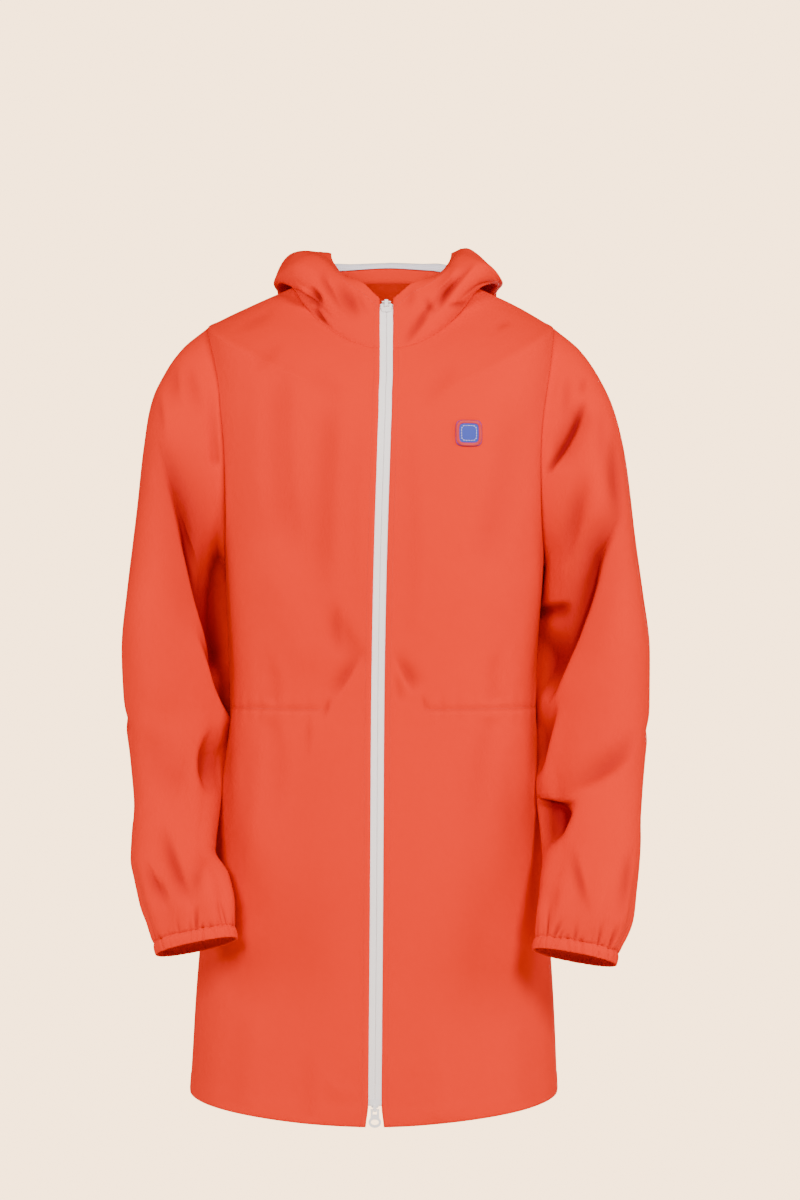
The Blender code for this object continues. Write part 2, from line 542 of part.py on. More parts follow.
def make_sleeve(name, table, folds, side):
    """One sleeve as two nearly straight tubes, so that neither bends round the arm's hollow."""
    rows = np.linspace(0, 1, SLEEVE_ROWS + 1)
    past_gap = rows[ELBOW_ROW] + SEAM_GAP / SLEEVE_LENGTH
    lower = np.concatenate([[past_gap], rows[ELBOW_ROW + 1:]])
    around = np.linspace(0, 2 * math.pi, SLEEVE_POINTS, endpoint=False)
    surface = sleeve_surface(table, folds, side)
    for part, along in (("upper", rows[:ELBOW_ROW + 1]), ("lower", lower)):
        turn, along = np.broadcast_arrays(around[None, :], along[:, None])
        base = surface(turn, along)
        normal = side * normals(surface, turn, along)
        if part == "upper":
            at_armhole = -normals(coat, *armhole(side, around))
            agree = np.sum(at_armhole * normal[0], axis=-1, keepdims=True)
            edge = at_armhole + (1 - ease(agree + 0.4)) * normal[0]
            normal[0] = edge / np.linalg.norm(edge, axis=-1, keepdims=True)
        inner = base - normal * WALL
        wall_solid(name + "_" + part, base, inner, orange_cloth(), closed=True)


def make_cuff(name, table, side):
    turn = np.linspace(0, 2 * math.pi, CUFF_POINTS, endpoint=False)
    drop = np.linspace(SEAM_GAP, SEAM_GAP + CUFF_TALL, CUFF_ROWS + 1)
    turn, drop = np.broadcast_arrays(turn[None, :], drop[:, None])
    surface = cuff_surface(table, side)
    outer = surface(turn, drop)
    ring = sleeve_form(table, turn, 1.0 + 0 * turn)
    middle = ring.mean(axis=(0, 1))
    inward = middle - ring
    inward = inward / np.linalg.norm(inward, axis=-1, keepdims=True)
    wall_solid(name, outer, outer + inward * WALL, orange_cloth(), closed=True)


def hood_grid():
    """The whole hood from the wearer's left of the zip round the back to the right of it.

    Its columns meet the columns of the fronts and the back at the neck.
    """
    climb = np.array(HOOD_LEVELS)
    start = hood_zip_angle(climb)[:, None]
    before = start + np.linspace(0, 1, FRONT_COLUMNS + 1)[:-1] * (QUARTER - start)
    behind = QUARTER + np.linspace(0, 1, BACK_COLUMNS + 1) * math.pi + 0 * start
    angle = np.concatenate([before, behind, 2 * math.pi - before[:, ::-1]], axis=1)
    return angle, np.broadcast_to(climb[:, None], angle.shape)


def make_hood():
    angle, climb = hood_grid()
    half_gap = 0.5 * SEAM_GAP / CENTRE_RADIUS
    left_seam = FRONT_COLUMNS + HOOD_BACK_COLUMNS
    right_seam = angle.shape[1] - 1 - left_seam
    spans = {"hood_side_left": (0, left_seam), "hood_centre": (left_seam, right_seam),
             "hood_side_right": (right_seam, angle.shape[1] - 1)}
    for name, (first, last) in spans.items():
        span_angle = angle[:, first:last + 1].copy()
        span_angle[:, 0] += half_gap if first > 0 else 0.0
        span_angle[:, -1] -= half_gap if last < angle.shape[1] - 1 else 0.0
        span_climb = climb[:, first:last + 1]
        base, outward = hood(span_angle, span_climb), normals(hood, span_angle, span_climb)
        wall_solid(name, base, base - outward * WALL, orange_cloth())


def sample(grid, rows, columns):
    """Points of a grid between its own points, along the flat faces that it makes."""
    r = np.clip(np.floor(rows).astype(int), 0, grid.shape[0] - 2)
    c = np.clip(np.floor(columns).astype(int), 0, grid.shape[1] - 2)
    u, v = (rows - r)[..., None], (columns - c)[..., None]
    top = grid[r, c] * (1 - v) + grid[r, c + 1] * v
    return top * (1 - u) + (grid[r + 1, c] * (1 - v) + grid[r + 1, c + 1] * v) * u


def make_lining():
    """The pale lining inside the hood.  It leaves a facing free at the neck and beside the zip."""
    angle, climb = hood_grid()
    base = hood(angle, climb)[1:, 1:-1]
    outward = normals(hood, angle, climb)[1:, 1:-1]
    outer = base - outward * (WALL + LINING_GAP)
    wall_solid("hood_lining", outer, outer - outward * LINING, pale_lining())


def tape_grid(side):
    """Points and normals of a tape's path: its edge at the teeth, then at and under the front."""
    angle, climb = hood_grid()
    hood_base, hood_out = hood(angle, climb), normals(hood, angle, climb)
    if side < 0:
        hood_base, hood_out = hood_base[:, ::-1], hood_out[:, ::-1]
    falls, _ = panel_rows()
    rows = np.count_nonzero(falls < TAPE_END_FALL + STEP)
    coat_base, coat_out = (grid[:rows] for grid in front_grid(side))
    levels = np.concatenate([[TAPE_TOP_CLIMB], climb[::-1, 0][1:-1]])
    hood_rows = np.interp(levels, HOOD_LEVELS, range(len(HOOD_LEVELS)))
    strips = []
    for base, out, at in ((hood_base, hood_out, hood_rows), (coat_base, coat_out, np.arange(rows))):
        wide = np.abs(base[0, 1, 0] - base[0, 0, 0])
        hidden = (TAPE_HALF - ZIP_HALF) / wide
        columns = np.broadcast_to([0.0, hidden], (len(at), 2))
        at = np.broadcast_to(np.asarray(at, float)[:, None], columns.shape)
        strips.append((sample(base, at, columns), sample(out, at, columns)))
    teeth = 0.5 * SEAM_GAP
    hood_turn = side * np.arcsin(teeth / HOOD[0][1]) + 0 * levels
    coat_turn = side * np.arcsin(teeth / read(COAT, COAT_COLUMNS, "front", falls[:rows]))
    middles = [(hood(hood_turn, levels), normals(hood, hood_turn, levels)),
               (coat(coat_turn, falls[:rows]), -normals(coat, coat_turn, falls[:rows]))]
    base = np.concatenate([np.concatenate([m[0][:, None], s[0]], 1) for m, s in zip(middles, strips)])
    out = np.concatenate([np.concatenate([m[1][:, None], s[1]], 1) for m, s in zip(middles, strips)])
    return base, out


def make_tapes():
    for side, name in ((-1, "zip_tape_right"), (1, "zip_tape_left")):
        base, outward = tape_grid(side)
        outer = base - outward * (WALL + SEAM_GAP)
        wall_solid(name, outer, outer - outward * TAPE_THICK, white_tape())


# ---------------------------------------------------------------- the patch
def front_point(base, outward, x, z):
    """The point and normal of a front's own faces that is seen at x, z from the front."""
    for r in range(base.shape[0] - 1):
        for c in range(base.shape[1] - 1):
            square = ((r, c), (r, c + 1), (r + 1, c + 1), (r + 1, c))
            for corners in ((0, 1, 2), (0, 2, 3)):
                p = [base[square[i]] for i in corners]
                n = [outward[square[i]] for i in corners]
                edges = np.array([[p[1][0] - p[0][0], p[2][0] - p[0][0]],
                                  [p[1][2] - p[0][2], p[2][2] - p[0][2]]])
                u, v = np.linalg.solve(edges, (x - p[0][0], z - p[0][2]))
                if u >= 0 and v >= 0 and u + v <= 1:
                    return ((1 - u - v) * p[0] + u * p[1] + v * p[2],
                            (1 - u - v) * n[0] + u * n[1] + v * n[2])
    raise ValueError("the patch lies off the front")


def make_patch():
    """A small square with round corners, made from the front's points moved out."""
    base, outward = front_grid(1)
    bm = bmesh.new()
    skins = []
    for lift in (PATCH_LIFT + PATCH_THICK, PATCH_LIFT):
        point, normal = front_point(base, outward, PATCH_X, PATCH_Z)
        loops = [[bm.verts.new(point + normal * lift)]]
        for share in (0.5, 1.0):
            loop = []
            for k in range(PATCH_POINTS):
                turn = 2 * math.pi * k / PATCH_POINTS
                reach = (abs(math.cos(turn)) ** PATCH_ROUND
                         + abs(math.sin(turn)) ** PATCH_ROUND) ** (-1 / PATCH_ROUND)
                reach *= 0.5 * PATCH_SIZE * share
                point, normal = front_point(base, outward, PATCH_X + reach * math.cos(turn),
                                            PATCH_Z + reach * math.sin(turn))
                loop.append(bm.verts.new(point + normal * lift))
            loops.append(loop)
        skins.append(loops)
    for skin, way in zip(skins, (1, -1)):
        for k in range(PATCH_POINTS):
            j = (k + 1) % PATCH_POINTS
            bm.faces.new((skin[0][0], skin[1][k], skin[1][j])[::way])
            for inner, outer in zip(skin[1:], skin[2:]):
                bm.faces.new((inner[k], outer[k], outer[j], inner[j])[::way])
    for k in range(PATCH_POINTS):
        j = (k + 1) % PATCH_POINTS
        bm.faces.new((skins[0][-1][k], skins[1][-1][k], skins[1][-1][j], skins[0][-1][j]))
    add_object("patch", bm, blue_twill())


# ---------------------------------------------------------------- sliders and pulls
def zip_end(which):
    """The middle of a tape end's face, the way out of the face and the way past the end."""
    zero = np.zeros(1)
    if which == "upper":
        level = np.full(1, TAPE_TOP_CLIMB)
        surface, out = hood(zero, level)[0], normals(hood, zero, level)[0]
    else:
        level = np.full(1, TAPE_END_FALL)
        surface, out = coat(zero, level)[0], -normals(coat, zero, level)[0]
    out = np.array([0.0, out[1], out[2]]) / math.hypot(out[1], out[2])
    past = np.array([0.0, -out[2], out[1]])
    past = past if (past[2] > 0) == (which == "upper") else -past
    return surface - out * (WALL + SEAM_GAP), out, past


def fill_prism(outline, holes, low, high, place):
    """A flat outline with holes, made a solid between two heights.  place maps (u, v, h)."""
    bm = bmesh.new()
    edges = []
    for loop in (outline, *holes):
        verts = [bm.verts.new((u, v, low)) for u, v in loop]
        edges += [bm.edges.new((verts[i - 1], verts[i])) for i in range(len(verts))]
    filled = bmesh.ops.triangle_fill(bm, use_beauty=True, edges=edges)
    faces = [item for item in filled["geom"] if isinstance(item, bmesh.types.BMFace)]
    grown = bmesh.ops.extrude_face_region(bm, geom=faces, use_keep_orig=True)
    for item in grown["geom"]:
        if isinstance(item, bmesh.types.BMVert):
            item.co.z = high
    bmesh.ops.recalc_face_normals(bm, faces=bm.faces)
    for vert in bm.verts:
        vert.co = place(*vert.co)
    return bm


def join(name, pieces, finish):
    """Union of several solids."""
    body = add_object(name, pieces[0], finish, 30)
    for piece in pieces[1:]:
        helper = add_object(name + "_piece", piece, finish)
        cut = body.modifiers.new("join", "BOOLEAN")
        cut.operation, cut.solver, cut.object = "UNION", "EXACT", helper
        view = bpy.context.evaluated_depsgraph_get()
        joined = bpy.data.meshes.new_from_object(body.evaluated_get(view))
        body.modifiers.clear()
        body.data = joined
        bpy.data.objects.remove(helper, do_unlink=True)
    body.data.name = name
    return body


def make_slider(name, which, halves):
    """Two plates past the tapes' end, the post between them and the arch that holds the pull."""
    origin, out, past = zip_end(which)
    end = SLIDER_CLEAR + POST_TALL
    front = (FACE_CLEAR, FACE_CLEAR + PLATE_THICK)
    behind = (-TAPE_THICK - front[1], -TAPE_THICK - front[0])

    def place(x, o, p):
        return (origin[0] + x, *(origin + out * o + past * p)[1:])

    def seen_from_side(outline, half):
        return fill_prism(outline, (), -half, half, lambda o, p, x: place(x, o, p))

    far, near = halves
    top = end - PLATE_TALL
    plate = [(-far + PLATE_CORNER, top), (far - PLATE_CORNER, top), (far, top + PLATE_CORNER),
             (near, end - PLATE_CORNER), (near - PLATE_CORNER, end), (-near + PLATE_CORNER, end),
             (-near, end - PLATE_CORNER), (-far, top + PLATE_CORNER)]
    pieces = [fill_prism(plate, (), *heights, lambda x, p, o: place(x, o, p))
              for heights in (front, behind)]

    reach = (behind[0] + 0.5 * PLATE_THICK, front[0] + 0.5 * PLATE_THICK)
    post = [(reach[0], end - POST_TALL), (reach[1], end - POST_TALL),
            (reach[1], end - SET_BACK), (reach[0], end - SET_BACK)]
    pieces.append(seen_from_side(post, POST_HALF))

    # The arch leaves a tunnel over the front plate, where the pull's bar turns.
    tunnel = front[1] + PULL_THICK + 2 * SLIDER_CLEAR
    crown = end + HINGE_PAST + PULL_THICK
    foot = end - ARCH_FOOT
    root = front[0] + SET_BACK
    corner = 0.5 * ARCH_BAR
    arch = [(root, foot), (tunnel + corner, foot), (tunnel + ARCH_BAR, foot + corner),
            (tunnel + ARCH_BAR, crown + corner), (tunnel + corner, crown + ARCH_BAR),
            (corner - ARCH_BAR, crown + ARCH_BAR), (-ARCH_BAR, crown + corner),
            (-ARCH_BAR, end - corner), (ARCH_BAR, end - corner), (ARCH_BAR, crown),
            (tunnel, crown), (tunnel, foot + ARCH_BAR), (root, foot + ARCH_BAR)]
    pieces.append(seen_from_side(arch, ARCH_HALF))
    join(name, pieces, white_enamel())


def hinge(which):
    """The pull's hinge: a point on its axis, which runs along X, with out and past."""
    origin, out, past = zip_end(which)
    up_to = SLIDER_CLEAR + POST_TALL + HINGE_PAST
    away = FACE_CLEAR + PLATE_THICK + SLIDER_CLEAR + 0.5 * PULL_THICK
    return origin + out * away + past * up_to, out, past


def make_pull(name, which, along):
    """A pull whose plate runs from its hinge along `along`, with its flat side across it."""
    point = hinge(which)[0]
    flat = np.cross(along, (1.0, 0.0, 0.0))
    bar = 0.5 * PULL_THICK

    def ring(halves, angles):
        return [(halves[0] * math.sin(a), PULL_REACH + halves[1] * math.cos(a)) for a in angles]

    waist = 0.5 * (PULL_REACH - RING_HALVES[1])
    outline = [(-PULL_HALF, -bar), (PULL_HALF, -bar), (PULL_WAIST, waist)]
    outline += ring(RING_HALVES, np.linspace(RING_MOUTH, -RING_MOUTH, 22))
    outline.append((-PULL_WAIST, waist))
    eye = [(-EYE_HALF, bar), (EYE_HALF, bar), (EYE_HALF, EYE_END), (-EYE_HALF, EYE_END)]
    hole = ring(RING_HOLE_HALVES, np.linspace(0, 2 * math.pi, 16, endpoint=False))

    def place(u, v, h):
        return (u, *(along * v + flat * h)[1:])
    bm = fill_prism(outline, (eye, hole), -bar, bar, place)
    made = add_object(name, bm, white_enamel(), 30)
    made.location = point


def make_hardware():
    make_slider("slider_upper", "upper", UPPER_HALVES)
    make_slider("slider_lower", "lower", LOWER_HALVES)
    make_pull("pull_upper", "upper", -hinge("upper")[1])
    make_pull("pull_lower", "lower", hinge("lower")[2])


# ================================================================ the scene
def clear_scene():
    for old in list(bpy.data.objects):
        bpy.data.objects.remove(old, do_unlink=True)


def main():
    clear_scene()
    make_body()
    make_sleeve("sleeve_right", SLEEVE_RIGHT, SLEEVE_RIGHT_FOLDS, -1)
    make_sleeve("sleeve_left", SLEEVE_LEFT, SLEEVE_LEFT_FOLDS, 1)
    make_cuff("cuff_right", SLEEVE_RIGHT, -1)
    make_cuff("cuff_left", SLEEVE_LEFT, 1)
    make_hood()
    make_lining()
    make_tapes()
    make_patch()
    make_hardware()


main()
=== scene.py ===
# %% [markdown]
# # A long hooded raincoat
#
# The coat is cut from one orange cloth, a close cotton with a matt waterproof coating. A maker
# cuts two fronts, a back, two sleeves, two cuff bands and a hood in three panels, and closes the
# front with a white zip that has a slider at each end. The rigid frame gives the true size and
# place of every piece. This script gives each piece its finish: thin cloth with soft creases,
# sewn seams, gathers at the cuffs, and materials that read as coated cotton, twill tape, mesh
# lining and enamel.

import math

import bmesh
import bpy
import numpy as np
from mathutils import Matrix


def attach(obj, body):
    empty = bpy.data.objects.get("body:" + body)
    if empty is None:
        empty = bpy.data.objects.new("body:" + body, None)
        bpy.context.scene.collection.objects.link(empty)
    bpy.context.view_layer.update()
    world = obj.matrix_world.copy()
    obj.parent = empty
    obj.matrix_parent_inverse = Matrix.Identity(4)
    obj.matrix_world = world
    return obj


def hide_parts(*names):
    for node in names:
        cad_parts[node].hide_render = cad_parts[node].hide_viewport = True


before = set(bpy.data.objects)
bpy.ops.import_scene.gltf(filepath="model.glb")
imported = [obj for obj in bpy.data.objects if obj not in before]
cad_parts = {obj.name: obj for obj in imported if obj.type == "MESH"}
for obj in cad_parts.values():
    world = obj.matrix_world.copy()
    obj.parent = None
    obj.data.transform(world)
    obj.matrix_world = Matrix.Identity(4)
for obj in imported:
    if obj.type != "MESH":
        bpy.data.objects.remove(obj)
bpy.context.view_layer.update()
MM = 0.001
QUARTER = math.pi / 2

# %% [markdown]
# ## Camera, light and floor
#
# The coat is seen from the front by a long lens, level with its waist, so that its lines stay
# nearly parallel. A pale studio lights it from all sides: a key from the upper right, a wider and
# weaker fill from the left, one light on each side, one behind and a dim surround, which the
# camera sees as a bright wall. The floor lies where a wearer would stand.

# %% Camera
LONG_SIDE_PIXELS = 1200.0
FOCAL_PIXELS = 2909.0  # found from the size of things in the picture, at 3.2 m
CAMERA_AT = (0.0176, -3.2, -0.341)

lens = bpy.data.cameras.new("portrait lens")
lens.sensor_width = 36.0
lens.lens = lens.sensor_width * FOCAL_PIXELS / LONG_SIDE_PIXELS
camera = bpy.data.objects.new("camera", lens)
camera.location = CAMERA_AT
camera.rotation_euler = (QUARTER, 0.0, 0.0)
bpy.context.scene.collection.objects.link(camera)
bpy.context.scene.camera = camera
print("lens in mm:", round(lens.lens, 1))


# %% Colours and nodes
def linear(hex_colour, alpha=1.0):
    """An sRGB hex value such as FF7040 as linear red, green, blue and alpha."""
    channels = [int(hex_colour[i:i + 2], 16) / 255 for i in (0, 2, 4)]
    light = [c / 12.92 if c <= 0.04045 else ((c + 0.055) / 1.055) ** 2.4 for c in channels]
    return (*light, alpha)


def add_node(tree, kind, settings=None, links=None):
    """Adds a node. settings are its own properties or its inputs' values, and links its sources."""
    node = tree.nodes.new(kind)
    for name, value in (settings or {}).items():
        if isinstance(name, str) and hasattr(node, name):
            setattr(node, name, value)
        else:
            node.inputs[name].default_value = value
    for name, source in (links or {}).items():
        tree.links.new(source, node.inputs[name])
    return node


def new_material(name):
    """An empty node material with its Principled shader."""
    made = bpy.data.materials.new(name)
    made.use_nodes = True
    tree = made.node_tree
    tree.nodes.clear()
    shader = add_node(tree, "ShaderNodeBsdfPrincipled")
    add_node(tree, "ShaderNodeOutputMaterial", links={"Surface": shader.outputs["BSDF"]})
    return made, tree, shader


print("linear orange:", [round(v, 3) for v in linear("F65A2E")])

# %% Light
SURROUND = "F0CBA0"
SURROUND_SEEN, SURROUND_LIGHT = 6.0, 0.10  # how bright the surround looks, and how much it lights


def add_softbox(name, place, aim, size, watts, hex_colour):
    """A square area light that faces a point."""
    data = bpy.data.lights.new(name, "AREA")
    data.shape = "SQUARE"
    data.size = size
    data.energy = watts
    data.color = linear(hex_colour)[:3]
    box = bpy.data.objects.new(name, data)
    box.location = place
    toward = np.array(aim) - np.array(place)
    flat = math.hypot(toward[0], toward[1])
    box.rotation_euler = (math.atan2(flat, -toward[2]), 0.0, math.atan2(-toward[0], toward[1]))
    bpy.context.scene.collection.objects.link(box)


CHEST = (0.0, 0.0, -0.35)
add_softbox("key", (1.5, -2.6, 1.25), CHEST, 0.8, 126.0, "FFF8F0")
add_softbox("fill", (-1.1, -2.8, 0.75), CHEST, 1.0, 97.0, "FFF9F4")
for hand, x in (("right", -2.6), ("left", 2.6)):
    add_softbox("edge_" + hand, (x, -0.3, 0.1), CHEST, 1.3, 50.0, "FFF9F4")
add_softbox("back", (0.5, 2.9, -0.2), CHEST, 1.4, 98.0, "FFF9F4")
world = bpy.data.worlds.new("pale studio")
world.use_nodes = True
surround = world.node_tree.nodes["Background"]
surround.inputs["Color"].default_value = linear(SURROUND)
ray = add_node(world.node_tree, "ShaderNodeLightPath")
level = add_node(world.node_tree, "ShaderNodeMapRange",
                 {"To Min": SURROUND_LIGHT, "To Max": SURROUND_SEEN},
                 {"Value": ray.outputs["Is Camera Ray"]})
world.node_tree.links.new(level.outputs["Result"], surround.inputs["Strength"])
bpy.context.scene.world = world

# %% Floor
FLOOR_Z = -1.5  # a wearer's neck base is about this high above the floor
FLOOR_RADIUS = 2.1


def make_floor():
    """A plain pale disc."""
    bm = bmesh.new()
    bmesh.ops.create_circle(bm, cap_ends=True, segments=96, radius=FLOOR_RADIUS)
    for vert in bm.verts:
        vert.co.z = FLOOR_Z
    mesh = bpy.data.meshes.new("floor")
    bm.to_mesh(mesh)
    bm.free()
    made, tree, shader = new_material("painted studio floor")
    shader.inputs["Base Color"].default_value = linear("EFE3D4")
    shader.inputs["Roughness"].default_value = 0.9
    mesh.materials.append(made)
    floor = bpy.data.objects.new("floor", mesh)
    bpy.context.scene.collection.objects.link(floor)


make_floor()
print("floor at", FLOOR_Z)

# %% [markdown]
# ## The finishes
#
# Coated cotton scatters light softly, with a faint sheen where the coating catches it and a
# close plain weave that shows only from near by. Each finish takes its colours as hex values and
# each pattern its size from a real one in millimetres. The weave follows the cloth, so it reads
# the piece's own UV map, which is laid out in metres. Soft crumples are the same in every
# direction, so they read object coordinates.

# %% Coated cotton
THREAD = 0.9 * MM  # real threads are about 0.25 mm, which would be too fine to show
CRUMPLE = 16 * MM  # the faint, uneven surface of cloth that has been folded and worn


def wave_scale(period):
    """The Wave texture's Scale for bands of one period, in the units of its coordinates."""
    return 2 * math.pi / (20 * period)


def weave_height(tree, thread):
    """Height of a plain weave from 0 to 1: warp and weft bands, each over and under in turn."""
    place = add_node(tree, "ShaderNodeTexCoord").outputs["UV"]
    bands = []
    for direction in ("X", "Y"):
        band = add_node(tree, "ShaderNodeTexWave",
                        {"wave_type": "BANDS", "bands_direction": direction,
                         "Scale": wave_scale(thread), "Distortion": 0.4, "Detail": 1.0},
                        {"Vector": place})
        bands.append(band.outputs["Fac"])
    return add_node(tree, "ShaderNodeMath", {"operation": "MULTIPLY"},
                    {0: bands[0], 1: bands[1]}).outputs["Value"]


def cloth_bumps(tree, shader, thread, crumple_deep, weave_deep):
    """Joins a crumple and a weave to a shader's normal."""
    at = add_node(tree, "ShaderNodeTexCoord").outputs["Object"]
    crumple = add_node(tree, "ShaderNodeTexNoise",
                       {"Scale": 1 / CRUMPLE, "Detail": 3.0, "Roughness": 0.45}, {"Vector": at})
    soft = add_node(tree, "ShaderNodeBump", {"Strength": 1.0, "Distance": crumple_deep},
                    {"Height": crumple.outputs["Fac"]})
    fine = add_node(tree, "ShaderNodeBump", {"Strength": 0.6, "Distance": weave_deep},
                    {"Height": weave_height(tree, thread), "Normal": soft.outputs["Normal"]})
    tree.links.new(fine.outputs["Normal"], shader.inputs["Normal"])
    return at


def make_coated_cotton(name, light_hex, deep_hex, painted_shade_hex):
    """Cotton with a matt coating: an even colour that wanders a little, and a low, wide sheen.

    Deep in a fold the cloth is lit mostly by light that its own orange has already filtered, so
    it looks a deeper red there. That red is painted shade: the mesh says how much of it each
    point gets, and the colour is mixed towards it.
    """
    made, tree, shader = new_material(name)
    at = cloth_bumps(tree, shader, THREAD, 0.7 * MM, 0.06 * MM)
    drift = add_node(tree, "ShaderNodeTexNoise", {"Scale": 1 / (90 * MM), "Detail": 2.0},
                     {"Vector": at})
    colour = add_node(tree, "ShaderNodeMix",
                      {"data_type": "RGBA", 6: linear(deep_hex), 7: linear(light_hex)},
                      {0: drift.outputs["Fac"]})
    # painted shade: the colour turns towards the dark red where the mesh's shade attribute is high
    painted_shade = add_node(tree, "ShaderNodeAttribute", {"attribute_name": "painted_shade"})
    inside = add_node(tree, "ShaderNodeMix", {"data_type": "RGBA", 7: linear(painted_shade_hex)},
                      {0: painted_shade.outputs["Fac"], 6: colour.outputs[2]})
    tree.links.new(inside.outputs[2], shader.inputs["Base Color"])
    rough = add_node(tree, "ShaderNodeMapRange", {"To Min": 0.72, "To Max": 0.84},
                     {"Value": drift.outputs["Fac"]})
    tree.links.new(rough.outputs["Result"], shader.inputs["Roughness"])
    shader.inputs["Specular IOR Level"].default_value = 0.06
    shader.inputs["Sheen Weight"].default_value = 0.015
    shader.inputs["Sheen Roughness"].default_value = 0.5
    shader.inputs["Sheen Tint"].default_value = linear("FF9A70")
    return made


# the third colour is the dark red of the painted shade deep in folds and grooves
COTTON = make_coated_cotton("coated cotton, matt orange", "DB2507", "D62006", "84060E")
print("made", COTTON.name)

# %% Tape, lining, thread and twill
RIB = 1.1 * MM  # ribs of the zip tape's weave, drawn twice as coarse as real ones


def make_woven_tape():
    """Polyester tape, woven tight: bright white, with fine ribs along it."""
    made, tree, shader = new_material("woven polyester tape, white")
    cloth_bumps(tree, shader, RIB, 0.15 * MM, 0.08 * MM)
    shader.inputs["Base Color"].default_value = linear("F6F3F5")
    shader.inputs["Roughness"].default_value = 0.68
    return made


def make_mesh_lining():
    """Knitted mesh: pale lilac, matt, with small round holes drawn as dark dimples."""
    made, tree, shader = new_material("knitted mesh lining, pale lilac")
    place = add_node(tree, "ShaderNodeTexCoord").outputs["UV"]
    cells = add_node(tree, "ShaderNodeTexVoronoi",
                     {"Scale": 1 / (2.4 * MM), "Randomness": 0.12}, {"Vector": place})
    hole = add_node(tree, "ShaderNodeMapRange", {"From Min": 0.12, "From Max": 0.34},
                    {"Value": cells.outputs["Distance"]})
    colour = add_node(tree, "ShaderNodeMix",
                      {"data_type": "RGBA", 6: linear("B9B3C8"), 7: linear("E9E5F0")},
                      {0: hole.outputs["Result"]})
    tree.links.new(colour.outputs[2], shader.inputs["Base Color"])
    bump = add_node(tree, "ShaderNodeBump", {"Strength": 0.8, "Distance": 0.3 * MM},
                    {"Height": hole.outputs["Result"]})
    tree.links.new(bump.outputs["Normal"], shader.inputs["Normal"])
    shader.inputs["Roughness"].default_value = 0.9
    return made


def make_thread(name, hex_colour):
    """Spun polyester thread: two plies that twist round each other, seen as slanting bands."""
    made, tree, shader = new_material(name)
    at = add_node(tree, "ShaderNodeTexCoord").outputs["Object"]
    ply = add_node(tree, "ShaderNodeTexWave",
                   {"wave_type": "BANDS", "bands_direction": "DIAGONAL",
                    "Scale": wave_scale(0.8 * MM)}, {"Vector": at})
    bump = add_node(tree, "ShaderNodeBump", {"Strength": 0.7, "Distance": 0.08 * MM},
                    {"Height": ply.outputs["Fac"]})
    tree.links.new(bump.outputs["Normal"], shader.inputs["Normal"])
    shader.inputs["Base Color"].default_value = linear(hex_colour)
    shader.inputs["Roughness"].default_value = 0.5
    return made


def make_blue_twill():
    """Twill: a steep diagonal rib from warp threads that float over two weft threads."""
    made, tree, shader = new_material("polyester twill, blue")
    place = add_node(tree, "ShaderNodeTexCoord").outputs["UV"]
    rib = add_node(tree, "ShaderNodeTexWave",
                   {"wave_type": "BANDS", "bands_direction": "DIAGONAL",
                    "Scale": wave_scale(0.9 * MM), "Distortion": 0.3}, {"Vector": place})
    colour = add_node(tree, "ShaderNodeMix",
                      {"data_type": "RGBA", 6: linear("16258A"), 7: linear("2A42B4")},
                      {0: rib.outputs["Fac"]})
    tree.links.new(colour.outputs[2], shader.inputs["Base Color"])
    bump = add_node(tree, "ShaderNodeBump", {"Strength": 0.8, "Distance": 0.12 * MM},
                    {"Height": rib.outputs["Fac"]})
    tree.links.new(bump.outputs["Normal"], shader.inputs["Normal"])
    shader.inputs["Roughness"].default_value = 0.62
    return made


def make_enamel():
    """Zinc casting under baked enamel: white and glossy, with the casting's faint waviness."""
    made, tree, shader = new_material("baked enamel, white")
    at = add_node(tree, "ShaderNodeTexCoord").outputs["Object"]
    wavy = add_node(tree, "ShaderNodeTexNoise", {"Scale": 1 / (2.5 * MM), "Detail": 1.0},
                    {"Vector": at})
    bump = add_node(tree, "ShaderNodeBump", {"Strength": 0.5, "Distance": 0.05 * MM},
                    {"Height": wavy.outputs["Fac"]})
    tree.links.new(bump.outputs["Normal"], shader.inputs["Normal"])
    shader.inputs["Base Color"].default_value = linear("F1EFF2")
    shader.inputs["Roughness"].default_value = 0.28
    shader.inputs["Coat Weight"].default_value = 0.3
    return made


TAPE_WHITE = make_woven_tape()
MESH_LILAC = make_mesh_lining()
THREAD_ORANGE = make_thread("spun polyester thread, orange", "C4220A")
THREAD_WHITE = make_thread("spun polyester thread, white", "F3F1F4")
THREAD_CORAL = make_thread("spun polyester thread, coral", "C01420")
TWILL_BLUE = make_blue_twill()
ENAMEL = make_enamel()
print("materials:", len(bpy.data.materials))

# %% [markdown]
# ## The coat's form
#
# A worn coat is a smooth surface that only its creases disturb. The body is read from a table of
# rings, from the neck seam over the shoulders and down to the hem, and each sleeve from a table
# of sections. They are the frame's sizes, with one more ring beside the shoulder tip. `angle`
# runs round the body from the centre front, `fall` runs down the cloth from the neck seam, and
# for a sleeve `turn` runs round it from the outer edge and `along` from the armhole to the cuff.

